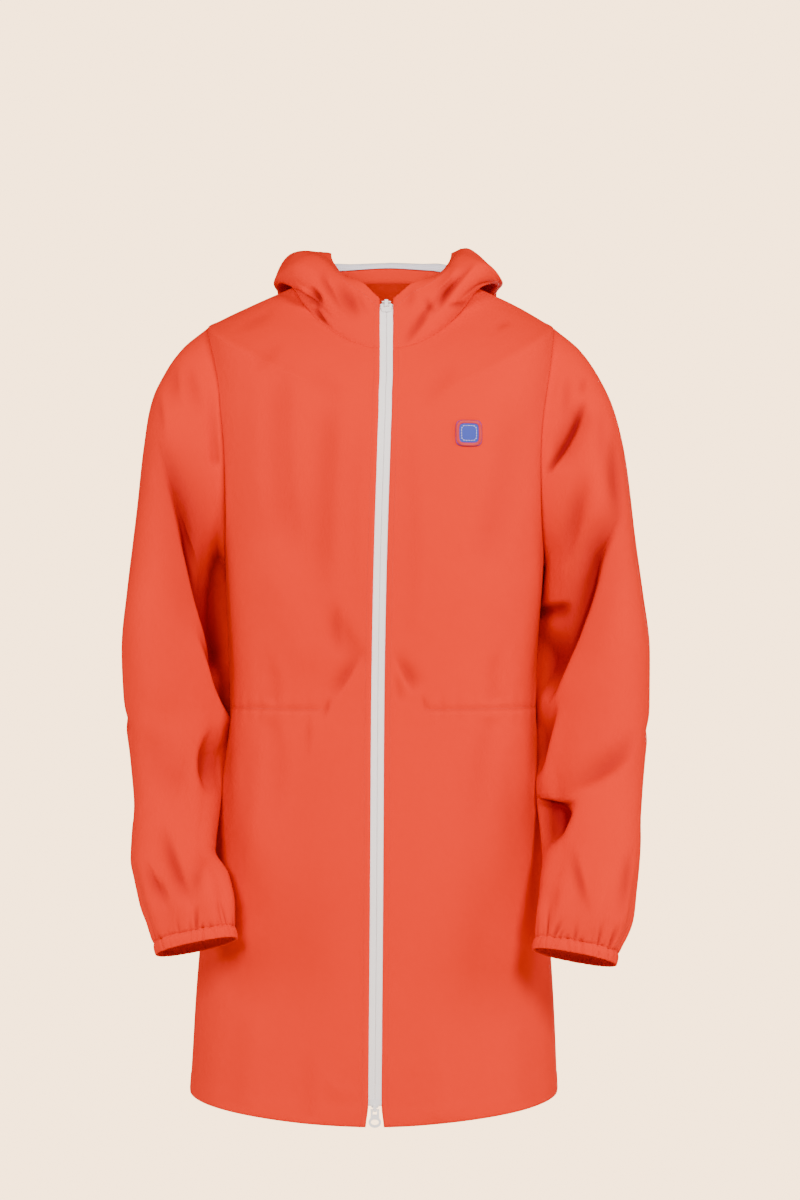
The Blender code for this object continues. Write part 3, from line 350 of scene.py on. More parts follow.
# %% Body rings
COAT_COLUMNS = ("fall", "lean", "right", "left", "front", "back", "round",
                "z_side", "z_front", "z_back")
COAT = (
    (0.000, 0.003, 0.101, 0.097, 0.095, 0.075, 2.0, 0.004, -0.072, 0.018),  # neck seam
    (0.045, 0.003, 0.146, 0.140, 0.108, 0.098, 2.1, -0.016, -0.100, -0.014),  # yoke
    (0.088, 0.002, 0.1820, 0.1735, 0.1170, 0.1130, 2.24, -0.0342, -0.1245, -0.0500),
    (0.105, 0.002, 0.195, 0.185, 0.120, 0.118, 2.3, -0.042, -0.134, -0.065),  # shoulder tip
    (0.147, 0.001, 0.191, 0.187, 0.128, 0.126, 2.4, -0.083, -0.164, -0.105),  # upper chest
    (0.190, 0.000, 0.188, 0.184, 0.131, 0.130, 2.6, -0.125, -0.197, -0.150),  # shoulder blade
    (0.270, -0.002, 0.180, 0.183, 0.133, 0.130, 2.7, -0.205, -0.257, -0.230),  # chest
    (0.365, -0.004, 0.170, 0.179, 0.130, 0.124, 2.6, -0.300, -0.332, -0.318),  # underarm
    (0.520, -0.006, 0.163, 0.173, 0.123, 0.113, 2.4, -0.457, -0.457, -0.457),  # waist
    (0.700, -0.007, 0.187, 0.186, 0.132, 0.126, 2.3, -0.632, -0.637, -0.637),  # hip
    (0.945, -0.009, 0.204, 0.200, 0.143, 0.140, 2.3, -0.878, -0.895, -0.896),  # hem
)
DIP = 1.4  # how a ring falls from its sides to its front and its back
SHOULDER_FALL, UNDERARM_FALL, WAIST_FALL, HEM_FALL = 0.105, 0.365, 0.520, 0.945
ARMHOLE_FRONT, ARMHOLE_BACK = math.radians(21.0), math.radians(24.0)
ZIP_HALF = 7.3 * MM  # centre line to a front's folded edge
TAPE_END_FALL = 0.924  # the zip stops short of the hem, and the corners spread below it
HEM_SPREAD = 2.2 * MM
SEAM_GAP = -0.5 * MM  # sewn pieces overlap a little, so that no light shows through a seam
COAT_RADIUS, ARMHOLE_RADIUS, SLEEVE_RADIUS = 0.15, 0.17, 0.06  # roughly, to turn angles to lengths
STEP = 1e-4  # between the points that a slope is taken from


def read(table, columns, name, at, level_ends=False):
    """A column of a table as a smooth curve over its first column. It never overshoots."""
    xs = np.array([row[0] for row in table], float)
    ys = np.array([row[columns.index(name)] for row in table], float)
    width = np.diff(xs)
    slope = np.diff(ys) / width
    tangent = np.zeros(len(xs))
    if not level_ends:
        tangent[0], tangent[-1] = slope[0], slope[-1]
    same_way = slope[:-1] * slope[1:] > 0
    total = np.where(same_way, slope[:-1] + slope[1:], 1.0)
    tangent[1:-1] = np.where(same_way, 2 * slope[:-1] * slope[1:] / total, 0.0)
    i = np.clip(np.searchsorted(xs, at, side="right") - 1, 0, len(xs) - 2)
    t = (at - xs[i]) / width[i]
    return ((2 * t**3 - 3 * t**2 + 1) * ys[i] + (t**3 - 2 * t**2 + t) * width[i] * tangent[i]
            + (3 * t**2 - 2 * t**3) * ys[i + 1] + (t**3 - t**2) * width[i] * tangent[i + 1])


def ease(value):
    """0 to 1 with level ends."""
    value = np.clip(value, 0.0, 1.0)
    return value * value * (3 - 2 * value)


def points(x, y, z):
    return np.stack(np.broadcast_arrays(x, y, z), axis=-1)


def unit(vectors):
    return vectors / np.linalg.norm(vectors, axis=-1, keepdims=True)


def normals(surface, a, b):
    """Unit normals of surface(a, b) from its slopes."""
    along_a = surface(a + STEP, b) - surface(a - STEP, b)
    along_b = surface(a, b + STEP) - surface(a, b - STEP)
    return unit(np.cross(along_a, along_b))


def coat_form(angle, fall):
    """The body without its folds."""
    wide = np.where(np.sin(angle) > 0, read(COAT, COAT_COLUMNS, "left", fall),
                    read(COAT, COAT_COLUMNS, "right", fall))
    deep = np.where(np.cos(angle) > 0, read(COAT, COAT_COLUMNS, "front", fall),
                    read(COAT, COAT_COLUMNS, "back", fall))
    power = read(COAT, COAT_COLUMNS, "round", fall)
    radius = (np.abs(np.sin(angle) / wide) ** power
              + np.abs(np.cos(angle) / deep) ** power) ** (-1 / power)
    z_side, z_front, z_back = (read(COAT, COAT_COLUMNS, "z_" + part, fall)
                               for part in ("side", "front", "back"))
    z = (z_side + np.maximum(np.cos(angle), 0) ** DIP * (z_front - z_side)
         + np.maximum(-np.cos(angle), 0) ** DIP * (z_back - z_side))
    lean = read(COAT, COAT_COLUMNS, "lean", fall)
    return points(lean + radius * np.sin(angle), -radius * np.cos(angle), z)


print("hem width in metres:", round(float(np.ptp(
    coat_form(np.linspace(0, 2 * math.pi, 90), np.full(90, HEM_FALL))[:, 0])), 3))

# %% [markdown]
# ## Creases
#
# Cloth folds where it has too much length or width for the form below it: down from the shoulder
# tips, across the elbows, and in to whatever gathers it. Each crease is listed one by one: its
# line has three points, seen from the front, the back or a side, then a half width, a height
# (below zero for a trough), how much narrower its far side is, and which of its ends fades
# slowly: "none" means that both fade over a third of it. A trough with one steep side reads as a
# fold, where an even one would read as a dent.

# %% Crease tables
CREASE_COLUMNS = ("view", "a0", "z0", "a1", "z1", "a2", "z2", "wide", "high", "steep", "fades")
COAT_CREASES = (
    # the largest folds, which the solids have too, most of them a little shallower
    ("front", -0.126, -0.080, -0.126, -0.180, -0.122, -0.280, 0.018, 0.0040, 1.0, "none"),
    ("front", -0.100, -0.065, -0.107, -0.190, -0.086, -0.315, 0.015, -0.0048, 0.8, "none"),
    ("front", -0.054, -0.110, -0.060, -0.230, -0.062, -0.365, 0.015, -0.0052, 0.7, "none"),
    ("front", -0.120, -0.270, -0.095, -0.360, -0.058, -0.430, 0.024, 0.0040, 1.0, "none"),
    ("front", 0.141, -0.110, 0.130, -0.222, 0.096, -0.330, 0.020, -0.0052, 0.9, "none"),
    ("front", -0.075, -0.470, -0.085, -0.640, -0.078, -0.850, 0.034, -0.0050, 1.0, "none"),
    ("front", 0.100, -0.480, 0.110, -0.660, 0.098, -0.850, 0.036, -0.0050, 1.0, "none"),
    ("back", -0.070, -0.200, -0.050, -0.330, -0.060, -0.440, 0.030, -0.005, 1.0, "none"),
    ("back", 0.080, -0.180, 0.066, -0.310, 0.050, -0.440, 0.030, -0.005, 1.0, "none"),
    ("back", -0.090, -0.480, -0.100, -0.660, -0.105, -0.860, 0.036, -0.006, 1.0, "none"),
    ("back", 0.020, -0.480, 0.014, -0.660, 0.020, -0.860, 0.036, 0.005, 1.0, "none"),
    ("back", 0.105, -0.490, 0.112, -0.660, 0.110, -0.860, 0.034, -0.006, 1.0, "none"),
    # beside the zip and down from the shoulders
    ("front", -0.018, -0.120, -0.030, -0.260, -0.020, -0.400, 0.010, -0.0012, 0.6, "both"),
    ("front", 0.020, -0.100, 0.032, -0.280, 0.020, -0.420, 0.011, -0.0012, 0.6, "both"),
    ("front", 0.081, -0.077, 0.060, -0.110, 0.033, -0.134, 0.013, -0.0022, 0.7, "both"),
    ("front", -0.085, -0.085, -0.060, -0.110, -0.036, -0.130, 0.013, -0.0020, 0.7, "both"),
    ("front", 0.140, -0.090, 0.146, -0.160, 0.140, -0.230, 0.014, 0.0018, 1.0, "both"),
    ("front", -0.062, -0.330, -0.036, -0.385, -0.012, -0.415, 0.014, -0.0045, 0.6, "both"),
    # into the waist seam
    ("front", -0.0215, -0.390, -0.0396, -0.424, -0.0570, -0.449, 0.010, -0.0046, 0.28, "both"),
    ("front", -0.0545, -0.441, -0.0594, -0.455, -0.0630, -0.468, 0.0030, -0.0020, 0.8, "both"),
    ("front", -0.0808, -0.460, -0.0785, -0.484, -0.0812, -0.520, 0.0034, -0.0012, 0.8, "both"),
    ("front", -0.046, -0.340, -0.050, -0.372, -0.042, -0.404, 0.008, -0.0026, 0.5, "both"),
    ("front", -0.106, -0.054, -0.124, -0.080, -0.141, -0.103, 0.012, -0.0024, 0.6, "both"),
    ("front", -0.165, -0.054, -0.137, -0.034, -0.116, -0.026, 0.009, -0.0020, 0.6, "both"),
    ("front", 0.138, -0.037, 0.129, -0.043, 0.117, -0.051, 0.006, -0.0018, 0.6, "both"),
    ("front", 0.0345, -0.441, 0.0245, -0.422, 0.0095, -0.392, 0.010, -0.0046, 0.30, "both"),
    ("front", 0.0210, -0.452, 0.0160, -0.436, 0.0120, -0.412, 0.005, -0.0016, 0.6, "both"),
    ("front", 0.0420, -0.439, 0.0450, -0.452, 0.0500, -0.462, 0.0032, -0.0016, 0.8, "both"),
    ("front", 0.130, -0.380, 0.118, -0.420, 0.122, -0.452, 0.010, -0.0022, 0.7, "first"),
    ("front", -0.132, -0.385, -0.118, -0.425, -0.120, -0.452, 0.010, -0.0022, 0.7, "first"),
    ("front", 0.118, -0.462, 0.104, -0.520, 0.100, -0.600, 0.012, -0.0022, 0.7, "last"),
    ("front", -0.122, -0.462, -0.112, -0.520, -0.118, -0.590, 0.011, -0.0022, 0.7, "last"),
    ("front", 0.150, -0.480, 0.140, -0.560, 0.146, -0.680, 0.016, -0.0030, 0.8, "both"),
    ("front", -0.146, -0.470, -0.150, -0.540, -0.160, -0.660, 0.014, -0.0030, 0.8, "both"),
    # the hem
    ("front", -0.075, -0.800, -0.077, -0.850, -0.075, -0.892, 0.010, -0.0013, 0.6, "first"),
    ("front", -0.075, -0.832, -0.050, -0.852, -0.030, -0.869, 0.009, 0.0016, 0.6, "both"),
    ("front", 0.050, -0.760, 0.056, -0.830, 0.060, -0.895, 0.018, 0.0020, 1.0, "first"),
    ("front", -0.150, -0.760, -0.156, -0.830, -0.160, -0.890, 0.016, -0.0022, 0.8, "first"),
    ("front", 0.150, -0.740, 0.158, -0.820, 0.160, -0.890, 0.018, -0.0024, 0.8, "first"),
    # the back, where the yoke pulls and the waist gathers
    ("back", -0.120, -0.150, -0.112, -0.250, -0.122, -0.340, 0.016, -0.0030, 0.6, "both"),
    ("back", 0.122, -0.140, 0.116, -0.240, 0.120, -0.350, 0.016, -0.0030, 0.6, "both"),
    ("back", -0.020, -0.200, -0.026, -0.300, -0.014, -0.400, 0.020, 0.0024, 1.0, "both"),
    ("back", 0.026, -0.240, 0.020, -0.330, 0.030, -0.430, 0.014, -0.0022, 0.6, "both"),
    ("back", -0.100, -0.400, -0.088, -0.430, -0.084, -0.452, 0.008, -0.0026, 0.6, "first"),
    ("back", -0.040, -0.408, -0.034, -0.432, -0.036, -0.452, 0.007, -0.0022, 0.7, "first"),
    ("back", 0.076, -0.404, 0.070, -0.430, 0.072, -0.452, 0.008, -0.0026, 0.6, "first"),
    ("back", 0.112, -0.398, 0.106, -0.428, 0.110, -0.452, 0.008, -0.0024, 0.7, "first"),
    ("back", -0.064, -0.462, -0.060, -0.500, -0.066, -0.560, 0.009, -0.0026, 0.6, "last"),
    ("back", -0.012, -0.462, -0.016, -0.510, -0.010, -0.580, 0.010, -0.0026, 0.6, "last"),
    ("back", 0.056, -0.462, 0.060, -0.500, 0.054, -0.570, 0.009, -0.0026, 0.6, "last"),
    ("back", -0.050, -0.720, -0.046, -0.800, -0.050, -0.890, 0.020, -0.0030, 0.8, "first"),
    ("back", 0.064, -0.700, 0.062, -0.800, 0.066, -0.890, 0.020, -0.0030, 0.8, "first"),
    ("back", -0.150, -0.640, -0.154, -0.760, -0.160, -0.890, 0.018, -0.0030, 0.8, "first"),
    # the sides, seen square on, with a1 and a2 as depths
    ("right", 0.020, -0.480, 0.030, -0.620, 0.030, -0.800, 0.020, -0.0035, 0.8, "both"),
    ("right", -0.050, -0.500, -0.055, -0.640, -0.060, -0.820, 0.018, -0.0030, 0.8, "both"),
    ("left", 0.024, -0.480, 0.034, -0.620, 0.030, -0.810, 0.020, -0.0035, 0.8, "both"),
    ("left", -0.050, -0.490, -0.052, -0.620, -0.056, -0.800, 0.018, -0.0030, 0.8, "both"),
)
SLEEVE_RIGHT_CREASES = (
    # the largest folds, which the solids have too
    ("front", -0.252, -0.130, -0.221, -0.289, -0.195, -0.400, 0.020, -0.006, 1.0, "none"),
    ("front", -0.275, -0.300, -0.255, -0.400, -0.225, -0.470, 0.024, 0.004, 1.0, "none"),
    ("front", -0.272, -0.470, -0.235, -0.520, -0.200, -0.535, 0.020, -0.005, 1.0, "none"),
    ("back", -0.270, -0.200, -0.240, -0.300, -0.205, -0.380, 0.024, -0.006, 1.0, "none"),
    ("back", -0.200, -0.440, -0.240, -0.470, -0.275, -0.480, 0.018, -0.006, 1.0, "none"),
    # the front: the long drag line, its second layer, the hollow beside the armhole
    ("front", -0.172, -0.432, -0.2185, -0.290, -0.2490, -0.150, 0.036, -0.0150, 0.13, "last"),
    ("front", -0.166, -0.480, -0.186, -0.425, -0.209, -0.355, 0.022, -0.0110, 0.16, "last"),
    ("front", -0.1755, -0.200, -0.179, -0.150, -0.182, -0.085, 0.011, -0.0110, 0.60, "last"),
    ("front", -0.164, -0.415, -0.172, -0.345, -0.182, -0.255, 0.020, -0.0120, 0.80, "last"),
    ("front", -0.178, -0.560, -0.192, -0.515, -0.178, -0.475, 0.020, -0.0130, 0.30, "both"),
    # short puckers under the shoulder
    ("front", -0.248, -0.112, -0.243, -0.138, -0.238, -0.176, 0.008, -0.0020, 0.5, "both"),
    ("front", -0.229, -0.078, -0.227, -0.104, -0.220, -0.136, 0.009, -0.0022, 0.5, "both"),
    ("front", -0.212, -0.080, -0.205, -0.108, -0.193, -0.146, 0.008, -0.0018, 0.6, "both"),
    # the forearm, down into the cuff
    ("front", -0.259, -0.512, -0.231, -0.529, -0.202, -0.558, 0.012, 0.0030, 1.0, "both"),
    ("front", -0.2380, -0.572, -0.2105, -0.640, -0.1900, -0.694, 0.0095, -0.0048, 0.5, "none"),
    ("front", -0.2540, -0.612, -0.2295, -0.662, -0.2100, -0.700, 0.0065, -0.0036, 0.5, "none"),
    ("front", -0.240, -0.630, -0.229, -0.652, -0.221, -0.676, 0.006, -0.0036, 0.6, "both"),
    ("front", -0.184, -0.600, -0.196, -0.640, -0.190, -0.676, 0.008, -0.0030, 0.6, "both"),
    # the back and the outer side, which bend the same way at the elbow
    ("back", -0.262, -0.140, -0.250, -0.200, -0.262, -0.260, 0.014, -0.0036, 0.4, "both"),
    ("back", -0.186, -0.220, -0.214, -0.290, -0.246, -0.370, 0.015, -0.0060, 0.3, "both"),
    ("back", -0.194, -0.396, -0.225, -0.430, -0.266, -0.436, 0.011, -0.0060, 0.35, "last"),
    ("back", -0.194, -0.490, -0.228, -0.505, -0.266, -0.520, 0.011, -0.0060, 0.35, "last"),
    ("back", -0.200, -0.560, -0.226, -0.590, -0.256, -0.600, 0.010, -0.0036, 0.5, "both"),
    ("outer", -0.034, -0.170, -0.012, -0.290, -0.026, -0.420, 0.015, -0.0040, 0.5, "both"),
    ("outer", 0.034, -0.430, 0.000, -0.470, -0.050, -0.480, 0.012, -0.0050, 0.4, "both"),
    ("outer", 0.010, -0.520, -0.020, -0.560, -0.080, -0.580, 0.012, -0.0044, 0.5, "both"),
)
SLEEVE_LEFT_CREASES = (
    # the largest folds, which the solids have too
    ("front", 0.219, -0.125, 0.200, -0.160, 0.182, -0.200, 0.014, -0.006, 1.0, "none"),
    ("front", 0.264, -0.249, 0.226, -0.344, 0.182, -0.435, 0.022, -0.006, 1.0, "none"),
    ("front", 0.275, -0.483, 0.232, -0.530, 0.185, -0.554, 0.020, 0.005, 1.0, "none"),
    ("back", 0.268, -0.210, 0.235, -0.310, 0.200, -0.390, 0.024, -0.006, 1.0, "none"),
    ("back", 0.198, -0.450, 0.240, -0.480, 0.278, -0.490, 0.018, -0.006, 1.0, "none"),
    # the front: a sharp crease from the armhole, then the long drag line in two parts
    ("front", 0.2180, -0.118, 0.2050, -0.160, 0.170, -0.211, 0.0055, -0.0052, 0.45, "first"),
    ("front", 0.2460, -0.150, 0.2540, -0.212, 0.2575, -0.276, 0.013, -0.0062, 0.45, "both"),
    ("front", 0.2620, -0.232, 0.224, -0.352, 0.166, -0.468, 0.034, -0.0150, 0.14, "none"),
    ("front", 0.176, -0.360, 0.172, -0.410, 0.162, -0.450, 0.018, -0.0120, 0.80, "both"),
    ("front", 0.219, -0.195, 0.206, -0.255, 0.186, -0.315, 0.013, -0.0060, 0.6, "both"),
    ("front", 0.162, -0.354, 0.180, -0.350, 0.202, -0.346, 0.012, -0.0075, 0.35, "last"),
    # the elbow's hollow, the crescent below it, and the deep hollow under the forearm's fold
    ("front", 0.186, -0.445, 0.178, -0.500, 0.168, -0.545, 0.020, -0.0130, 0.20, "both"),
    ("front", 0.272, -0.475, 0.243, -0.520, 0.170, -0.548, 0.016, -0.0070, 0.45, "both"),
    ("front", 0.162, -0.557, 0.186, -0.555, 0.210, -0.560, 0.022, -0.0130, 0.16, "last"),
    ("front", 0.196, -0.560, 0.184, -0.588, 0.172, -0.620, 0.014, -0.0100, 0.35, "last"),
    ("front", 0.1980, -0.595, 0.2110, -0.650, 0.2240, -0.692, 0.0065, -0.0030, 0.5, "none"),
    # short puckers under the shoulder
    ("front", 0.187, -0.072, 0.183, -0.104, 0.178, -0.140, 0.007, -0.0034, 0.6, "both"),
    ("front", 0.197, -0.090, 0.197, -0.118, 0.192, -0.150, 0.006, -0.0014, 0.7, "both"),
    ("front", 0.219, -0.094, 0.216, -0.108, 0.211, -0.122, 0.005, -0.0013, 0.7, "both"),
    ("front", 0.234, -0.120, 0.236, -0.160, 0.229, -0.205, 0.009, -0.0016, 0.7, "both"),
    # down into the cuff
    ("front", 0.2640, -0.600, 0.2540, -0.655, 0.2380, -0.705, 0.0075, -0.0026, 0.5, "none"),
    ("front", 0.184, -0.640, 0.180, -0.665, 0.186, -0.690, 0.008, -0.0030, 0.6, "first"),
    # the back and the outer side
    ("back", 0.262, -0.140, 0.250, -0.200, 0.262, -0.260, 0.014, -0.0036, 0.4, "both"),
    ("back", 0.184, -0.210, 0.212, -0.290, 0.246, -0.380, 0.015, -0.0060, 0.3, "both"),
    ("back", 0.192, -0.402, 0.224, -0.432, 0.268, -0.440, 0.011, -0.0060, 0.35, "last"),
    ("back", 0.192, -0.500, 0.228, -0.512, 0.270, -0.530, 0.011, -0.0060, 0.35, "last"),
    ("back", 0.196, -0.570, 0.226, -0.600, 0.262, -0.606, 0.010, -0.0036, 0.5, "both"),
    ("outer", -0.032, -0.160, -0.010, -0.290, -0.024, -0.420, 0.015, -0.0040, 0.5, "both"),
    ("outer", 0.034, -0.440, 0.000, -0.480, -0.050, -0.492, 0.012, -0.0050, 0.4, "both"),
    ("outer", 0.010, -0.530, -0.020, -0.570, -0.080, -0.592, 0.012, -0.0044, 0.5, "both"),
)
print("creases:", len(COAT_CREASES), len(SLEEVE_RIGHT_CREASES), len(SLEEVE_LEFT_CREASES))

# %% Crease fields
CREASE_PARTS = 8  # straight parts of a crease's curved line
LONG_FADE, SHORT_FADE, FOLD_FADE = 0.48, 0.12, 0.30  # share of a crease over which an end fades
FADES = {"first": (LONG_FADE, SHORT_FADE), "last": (SHORT_FADE, LONG_FADE),
         "both": (LONG_FADE, LONG_FADE), "none": (FOLD_FADE, FOLD_FADE)}
OVERLAP_BELOW, OVERLAP_SHARE = 0.25, 0.5  # a very steep side leans over the trough
HEIGHT, PAINTED_SHADE_FIELD, SHIFT_A, SHIFT_Z = range(4)


def crease_line(crease):
    """Points along a crease's curved line."""
    knots = np.array([[crease["a" + k], crease["z" + k]] for k in "012"])
    t = np.linspace(0, 1, CREASE_PARTS + 1)[:, None]
    bend = 2 * knots[1] - 0.5 * (knots[0] + knots[2])
    return (1 - t) ** 2 * knots[0] + 2 * t * (1 - t) * bend + t**2 * knots[2]


def crease_fields(creases, view, a, z):
    """What the creases of one view do at a (across) and z (up): four fields in one array.

    They are how far the cloth moves out, how hidden from light it is, from 0 to 1, which the
    cloth's colour paints as shade, and how far it moves across and up, where a fold's lit layer
    leans over the trough beside it.
    """
    fields = np.zeros((4, *np.broadcast(a, z).shape))
    for row in creases:
        crease = dict(zip(CREASE_COLUMNS, row))
        if crease["view"] != view:
            continue
        line = crease_line(crease)
        reach = 3 * crease["wide"]
        low, high = line.min(0) - reach, line.max(0) + reach
        near = (a > low[0]) & (a < high[0]) & (z > low[1]) & (z < high[1])
        if not near.any():
            continue
        at_a, at_z = a[near], z[near]
        best = np.full(at_a.shape, np.inf)
        along, side = np.zeros_like(best), np.zeros_like(best)
        across = np.zeros((2, *best.shape))
        for k, (start, end) in enumerate(zip(line, line[1:])):
            step = end - start
            from_a, from_z = at_a - start[0], at_z - start[1]
            s = np.clip((from_a * step[0] + from_z * step[1]) / (step @ step), 0, 1)
            gap = np.hypot(from_a - s * step[0], from_z - s * step[1])
            closer = gap < best
            best = np.where(closer, gap, best)
            along = np.where(closer, (k + s) / CREASE_PARTS, along)
            side = np.where(closer, np.sign(step[0] * from_z - step[1] * from_a), side)
            away = np.array([step[1], -step[0]]) / np.hypot(*step)  # towards the wide side
            across = np.where(closer, away[:, None], across)
        steep = crease["wide"] * crease["steep"]
        first, last = FADES[crease["fades"]]
        strength = ease(along / first) * ease((1 - along) / last)
        profile = strength * np.exp(-((best / np.where(side > 0, steep, crease["wide"])) ** 2))
        fields[HEIGHT][near] += crease["high"] * profile
        if crease["high"] > 0:
            continue
        deep = -crease["high"]
        hidden = deep / (deep + math.sqrt(steep * crease["wide"]))
        # painted shade: a trough is painted darker the deeper it is for its width
        fields[PAINTED_SHADE_FIELD][near] += 1.9 * hidden**1.5 * profile
        if crease["steep"] < OVERLAP_BELOW:
            lip = 1.5 * steep
            past = -side * best + lip
            lean = np.exp(-((past / np.where(past > 0, 0.7 * lip, lip)) ** 2))
            lean = lean * strength * OVERLAP_SHARE * deep
            fields[SHIFT_A][near] += lean * across[0]
            fields[SHIFT_Z][near] += lean * across[1]
    return fields


# The waist seam: a casing sewn inside from the side seams to halfway across each front, and all
# across the back. It pulls the cloth into small puckers.
CASING_FALL = 0.519
CASING_HALF = 2.2 * MM
CASING_DEEP = 1.7 * MM
PUCKER_PITCH = 17 * MM
PUCKER_REACH = 0.020
CASING_FRONT_X = (-0.064, 0.046)  # where it ends on the right and the left front
CASING_END = 8 * MM  # over which it ends


def casing_height(x, facing, around, fall):
    """The groove of the waist seam and its puckers."""
    right_end, left_end = CASING_FRONT_X
    on_front = ease((right_end - x) / CASING_END) + ease((x - left_end) / CASING_END)
    covered = np.where(facing > 0, on_front, 1.0)
    covered = covered * (0.2 + 0.8 * ease((np.abs(facing) - 0.08) / 0.3))  # flat beside the sleeves
    off = fall - CASING_FALL
    groove = -CASING_DEEP * np.exp(-((off / CASING_HALF) ** 2))
    wander = 1.3 * np.sin(around / 0.043) + 0.8 * np.sin(around / 0.027 + 1.0)
    pucker = np.sin(2 * math.pi * around / PUCKER_PITCH + wander)
    strength = np.where(facing > 0, 0.7, 1.3) * (0.7 + 0.3 * np.sin(around / 0.031))
    beside = (np.abs(off) / 0.006) * np.exp(1 - np.abs(off) / 0.006)
    fading = np.exp(-((off / PUCKER_REACH) ** 2))
    return covered * (groove + strength * MM * pucker * np.minimum(beside, 1.0) * fading)


def slack(a, z, seed):
    """The slow, shallow unevenness of cloth between its creases."""
    return (0.9 * MM * np.sin(a / 0.031 + 1.7 * np.sin(z / 0.11 + seed))
            * np.sin(z / 0.055 + 1.3 * np.sin(a / 0.06 + 2 * seed)))


print("casing reaches x =", CASING_FRONT_X)


# %% Body surface
def coat_fields(angle, fall):
    """The body's crease fields, with its waist seam and slack in the height."""
    form = coat_form(angle, fall)
    x, y, z = form[..., 0], form[..., 1], form[..., 2]
    facing, sideways = np.cos(angle), np.sin(angle)
    around = angle * COAT_RADIUS
    fields = (crease_fields(COAT_CREASES, "front", x, z) * ease(facing * 3)
              + crease_fields(COAT_CREASES, "back", x, z) * ease(-facing * 3)
              + crease_fields(COAT_CREASES, "left", y, z) * ease(sideways * 3)
              + crease_fields(COAT_CREASES, "right", y, z) * ease(-sideways * 3))
    casing = casing_height(x, facing, around, fall)
    fields[HEIGHT] += slack(around, z, 0.4) * ease((fall - 0.02) / 0.1) + casing
    # painted shade in the waist seam's groove
    fields[PAINTED_SHADE_FIELD] += 0.3 * np.clip(-casing / CASING_DEEP, 0, 1)
    return fields


def coat(angle, fall):
    """The body with its creases, waist seam and slack."""
    height = coat_fields(angle, fall)[HEIGHT]
    return coat_form(angle, fall) + height[..., None] * -normals(coat_form, angle, fall)


def armhole(side, turn):
    """Where a sleeve starts on the body. side is +1 for the wearer's left, -1 for the right."""
    middle = 0.5 * (SHOULDER_FALL + UNDERARM_FALL)
    half = 0.5 * (UNDERARM_FALL - SHOULDER_FALL) - SEAM_GAP
    reach = np.where(np.sin(turn) > 0, ARMHOLE_FRONT, -ARMHOLE_BACK)
    trim = np.sign(reach) * SEAM_GAP / ARMHOLE_RADIUS
    angle = side * (QUARTER - (reach - trim) * np.abs(np.sin(turn)))
    return angle, middle - half * np.cos(turn)


print("centre chest:", coat(np.zeros(1), np.full(1, 0.25))[0].round(3))

# %% Sleeve sections
SLEEVE_COLUMNS = ("along", "outer_x", "outer_z", "inner_x", "inner_z", "mid_y", "deep", "pitch")
SLEEVE_RIGHT = (
    (0.00, -0.1930, -0.0420, -0.1740, -0.3000, 0.000, 0.064, 0.000),  # armhole
    (0.05, -0.2211, -0.0650, -0.1768, -0.3020, 0.000, 0.069, 0.000),
    (0.11, -0.2398, -0.0900, -0.1775, -0.3070, 0.000, 0.072, 0.000),
    (0.18, -0.2552, -0.1240, -0.1772, -0.3150, 0.000, 0.074, 0.000),  # shoulder corner
    (0.26, -0.2640, -0.1738, -0.1756, -0.3260, 0.001, 0.074, 0.000),
    (0.34, -0.2706, -0.2266, -0.1743, -0.3390, 0.002, 0.072, 0.000),
    (0.42, -0.2772, -0.2794, -0.1735, -0.3550, 0.002, 0.070, 0.000),
    (0.50, -0.2827, -0.3322, -0.1724, -0.3800, 0.001, 0.067, 0.000),
    (0.58, -0.2871, -0.3982, -0.1713, -0.4158, 0.000, 0.064, 0.000),  # above the elbow
    (0.66, -0.2849, -0.4642, -0.1710, -0.4565, -0.002, 0.061, 0.002),  # elbow
    (0.73, -0.2780, -0.5162, -0.1760, -0.5100, -0.015, 0.056, 0.004),
    (0.80, -0.2714, -0.5670, -0.1815, -0.5610, -0.044, 0.050, 0.006),
    (0.87, -0.2708, -0.6165, -0.1850, -0.6080, -0.082, 0.045, 0.007),  # forearm
    (0.92, -0.2646, -0.6403, -0.1660, -0.6340, -0.098, 0.044, 0.008),
    (0.96, -0.2547, -0.6720, -0.1590, -0.6600, -0.109, 0.041, 0.009),  # blouse over the cuff
    (1.00, -0.2433, -0.7047, -0.1574, -0.6867, -0.117, 0.034, 0.009),  # cuff seam
)
